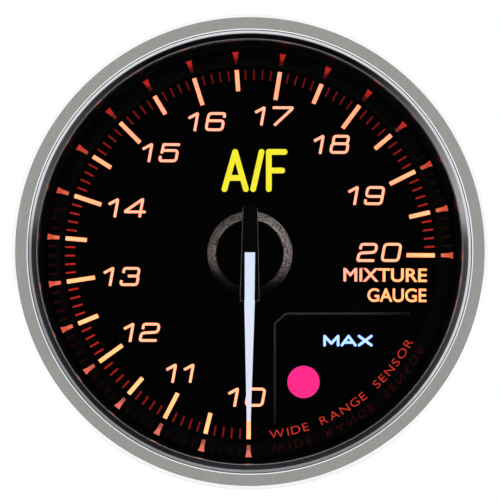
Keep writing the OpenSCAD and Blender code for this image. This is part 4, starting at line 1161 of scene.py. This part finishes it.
def make_socket(name, side, look, node):
    """A keyed plug socket: shell, floor, a latch ramp and two guide ribs."""
    wide, tall, wall, well = 12.0, 6.5, 0.9, 8.6
    depth, middle = SOCKET_FRONT - SOCKET_BACK, (SOCKET_FRONT + SOCKET_BACK) / 2
    bm = block((wide, tall, depth), (0, 0, middle))
    mouth = [f for f in bm.faces if f.normal.z < -0.9]
    bmesh.ops.inset_region(bm, faces=mouth, thickness=wall, depth=0, use_even_offset=True)
    inner = [f for f in bm.faces if f.normal.z < -0.9
             and all(abs(v.co.x) < wide / 2 - wall / 2 for v in f.verts)]
    pulled(bm, inner, (0, 0, well))
    bmesh.ops.delete(bm, geom=inner, context="FACES")
    bmesh.ops.recalc_face_normals(bm, faces=bm.faces)
    soften(bm, 0.16, angle=0.6)
    ramp = block((1.6, 0.5, 2.4), (0, side * (tall / 2 + 0.15), SOCKET_BACK + 3.6), 0.12)
    ribs = [block((0.6, 0.35, depth * 0.5),
                  (x, side * (tall / 2 + 0.1), SOCKET_BACK + depth * 0.3), 0.1)
            for x in (-3.6, 3.6)]
    piece(moved(joined([bm, ramp, *ribs]), y=side * SOCKET_Y), name, look, [node])


def make_pins(name, side, count, node):
    """A row of square pins with pointed ends."""
    thick, pitch, tip, root = 0.62, 2.2, back_of(node), front_of(node)
    parts = []
    for i in range(count):
        pin = block((thick, thick, root - tip),
                    ((i - (count - 1) / 2) * pitch, side * SOCKET_Y, (root + tip) / 2))
        end = [e for e in pin.edges if all(abs(v.co.z - tip) < FINE for v in e.verts)]
        bevelled(pin, end, 0.16, 1)
        parts.append(pin)
    piece(joined(parts), name, tinned, [node])


make_socket("sensor_shell", 1, socket_black, "sensor_socket")
make_socket("power_shell", -1, socket_white, "power_socket")
make_pins("sensor_contacts", 1, 4, "sensor_pins")
make_pins("power_contacts", -1, 3, "power_pins")


# Clamp

def bend(centre, radius, start, end, steps=8):
    """Points round a bend, between two angles in degrees."""
    angles = [math.radians(start + (end - start) * i / steps) for i in range(steps + 1)]
    return [(centre[0] + radius * math.cos(a), centre[1] + radius * math.sin(a)) for a in angles]


def make_clamp():
    """The bent steel strap, drawn from its side and given its width."""
    inner, thick, radius, wide, flare, foot = 26.6, 1.2, 1.6, 14.0, 2.2, -3.6
    bridge = STRIP_BACK + thick
    centre = (inner - radius, bridge + radius)
    half = [(0.0, STRIP_BACK), *bend(centre, radius + thick, -90, 0),
            (inner + thick, foot - thick), (inner + flare, foot - thick), (inner + flare, foot),
            (inner, foot), *bend(centre, radius, 0, -90), (0.0, bridge)]
    bm = cut_out([(x, -wide / 2, z) for x, z in both_sides(half)], (0, wide, 0))
    rim = [e for e in bm.edges if abs(abs(e.verts[0].co.y) - wide / 2) < FINE
           and abs(e.verts[0].co.y - e.verts[1].co.y) < FINE]
    bevelled(bm, rim, 0.18, 2)
    piece(bm, "clamp_strap", zinc, ["clamp_bracket"], "clamp", 40)


def washer():
    """A flat washer between the strap and its nut."""
    inner, outer = 2.2, 4.5
    bm = turned([(inner, WASHER_BACK), (outer, WASHER_BACK), (outer, STRIP_BACK),
                 (inner, STRIP_BACK)], 56)
    soften(bm, 0.12, angle=0.6)
    return moved(bm, x=STUD_X)


def thumb_nut():
    """A turned brass nut with a straight knurl."""
    bore, neck, grip, knurl = 2.02, 3.1, 4.6, 0.38
    low, high = NUT_BACK, WASHER_BACK
    bm = turned([(bore, low), (neck, low), (neck, low + 1.2), (grip, low + 1.2), (grip, high),
                 (bore, high)], 192)
    for vert in bm.verts:
        if math.hypot(vert.co.x, vert.co.y) > grip - 0.1:
            wave = 0.5 + 0.5 * math.cos(math.atan2(vert.co.y, vert.co.x) * 24)
            scale = 1 + knurl / grip * wave ** 0.6
            vert.co.x *= scale
            vert.co.y *= scale
    soften(bm, 0.14, angle=1.2)
    return moved(bm, x=STUD_X)


make_clamp()
piece(mirrored(washer), "washer_pair", zinc, ["washers"], "clamp")
piece(mirrored(thumb_nut), "nut_pair", brass, ["thumb_nuts"], "clamp", 40)


# Inside

for node, look in (
        ("light_guide", acrylic), ("light_box", white_plastic), ("display_board", board_lacquer),
        ("backlight_leds", resin), ("pointer_leds", resin), ("peak_led", resin),
        ("warning_led", resin), ("controller_chip", chip_black), ("board_screws", zinc),
        ("header_pins", tinned), ("header_socket", chip_black), ("motor_case_front", motor_shell),
        ("motor_case_rear", motor_base), ("motor_terminals", tinned), ("stator_core", lamination),
        ("stator_coils", copper), ("rotor_magnet", ferrite), ("rotor_pinion", acetal),
        ("rotor_axle", zinc), ("idler_gear", acetal), ("idler_axle", zinc),
        ("power_board", board_lacquer), ("power_board_screws", zinc), ("capacitors", sleeve_grey),
        ("voltage_regulator", chip_black)):
    dress(node, look)
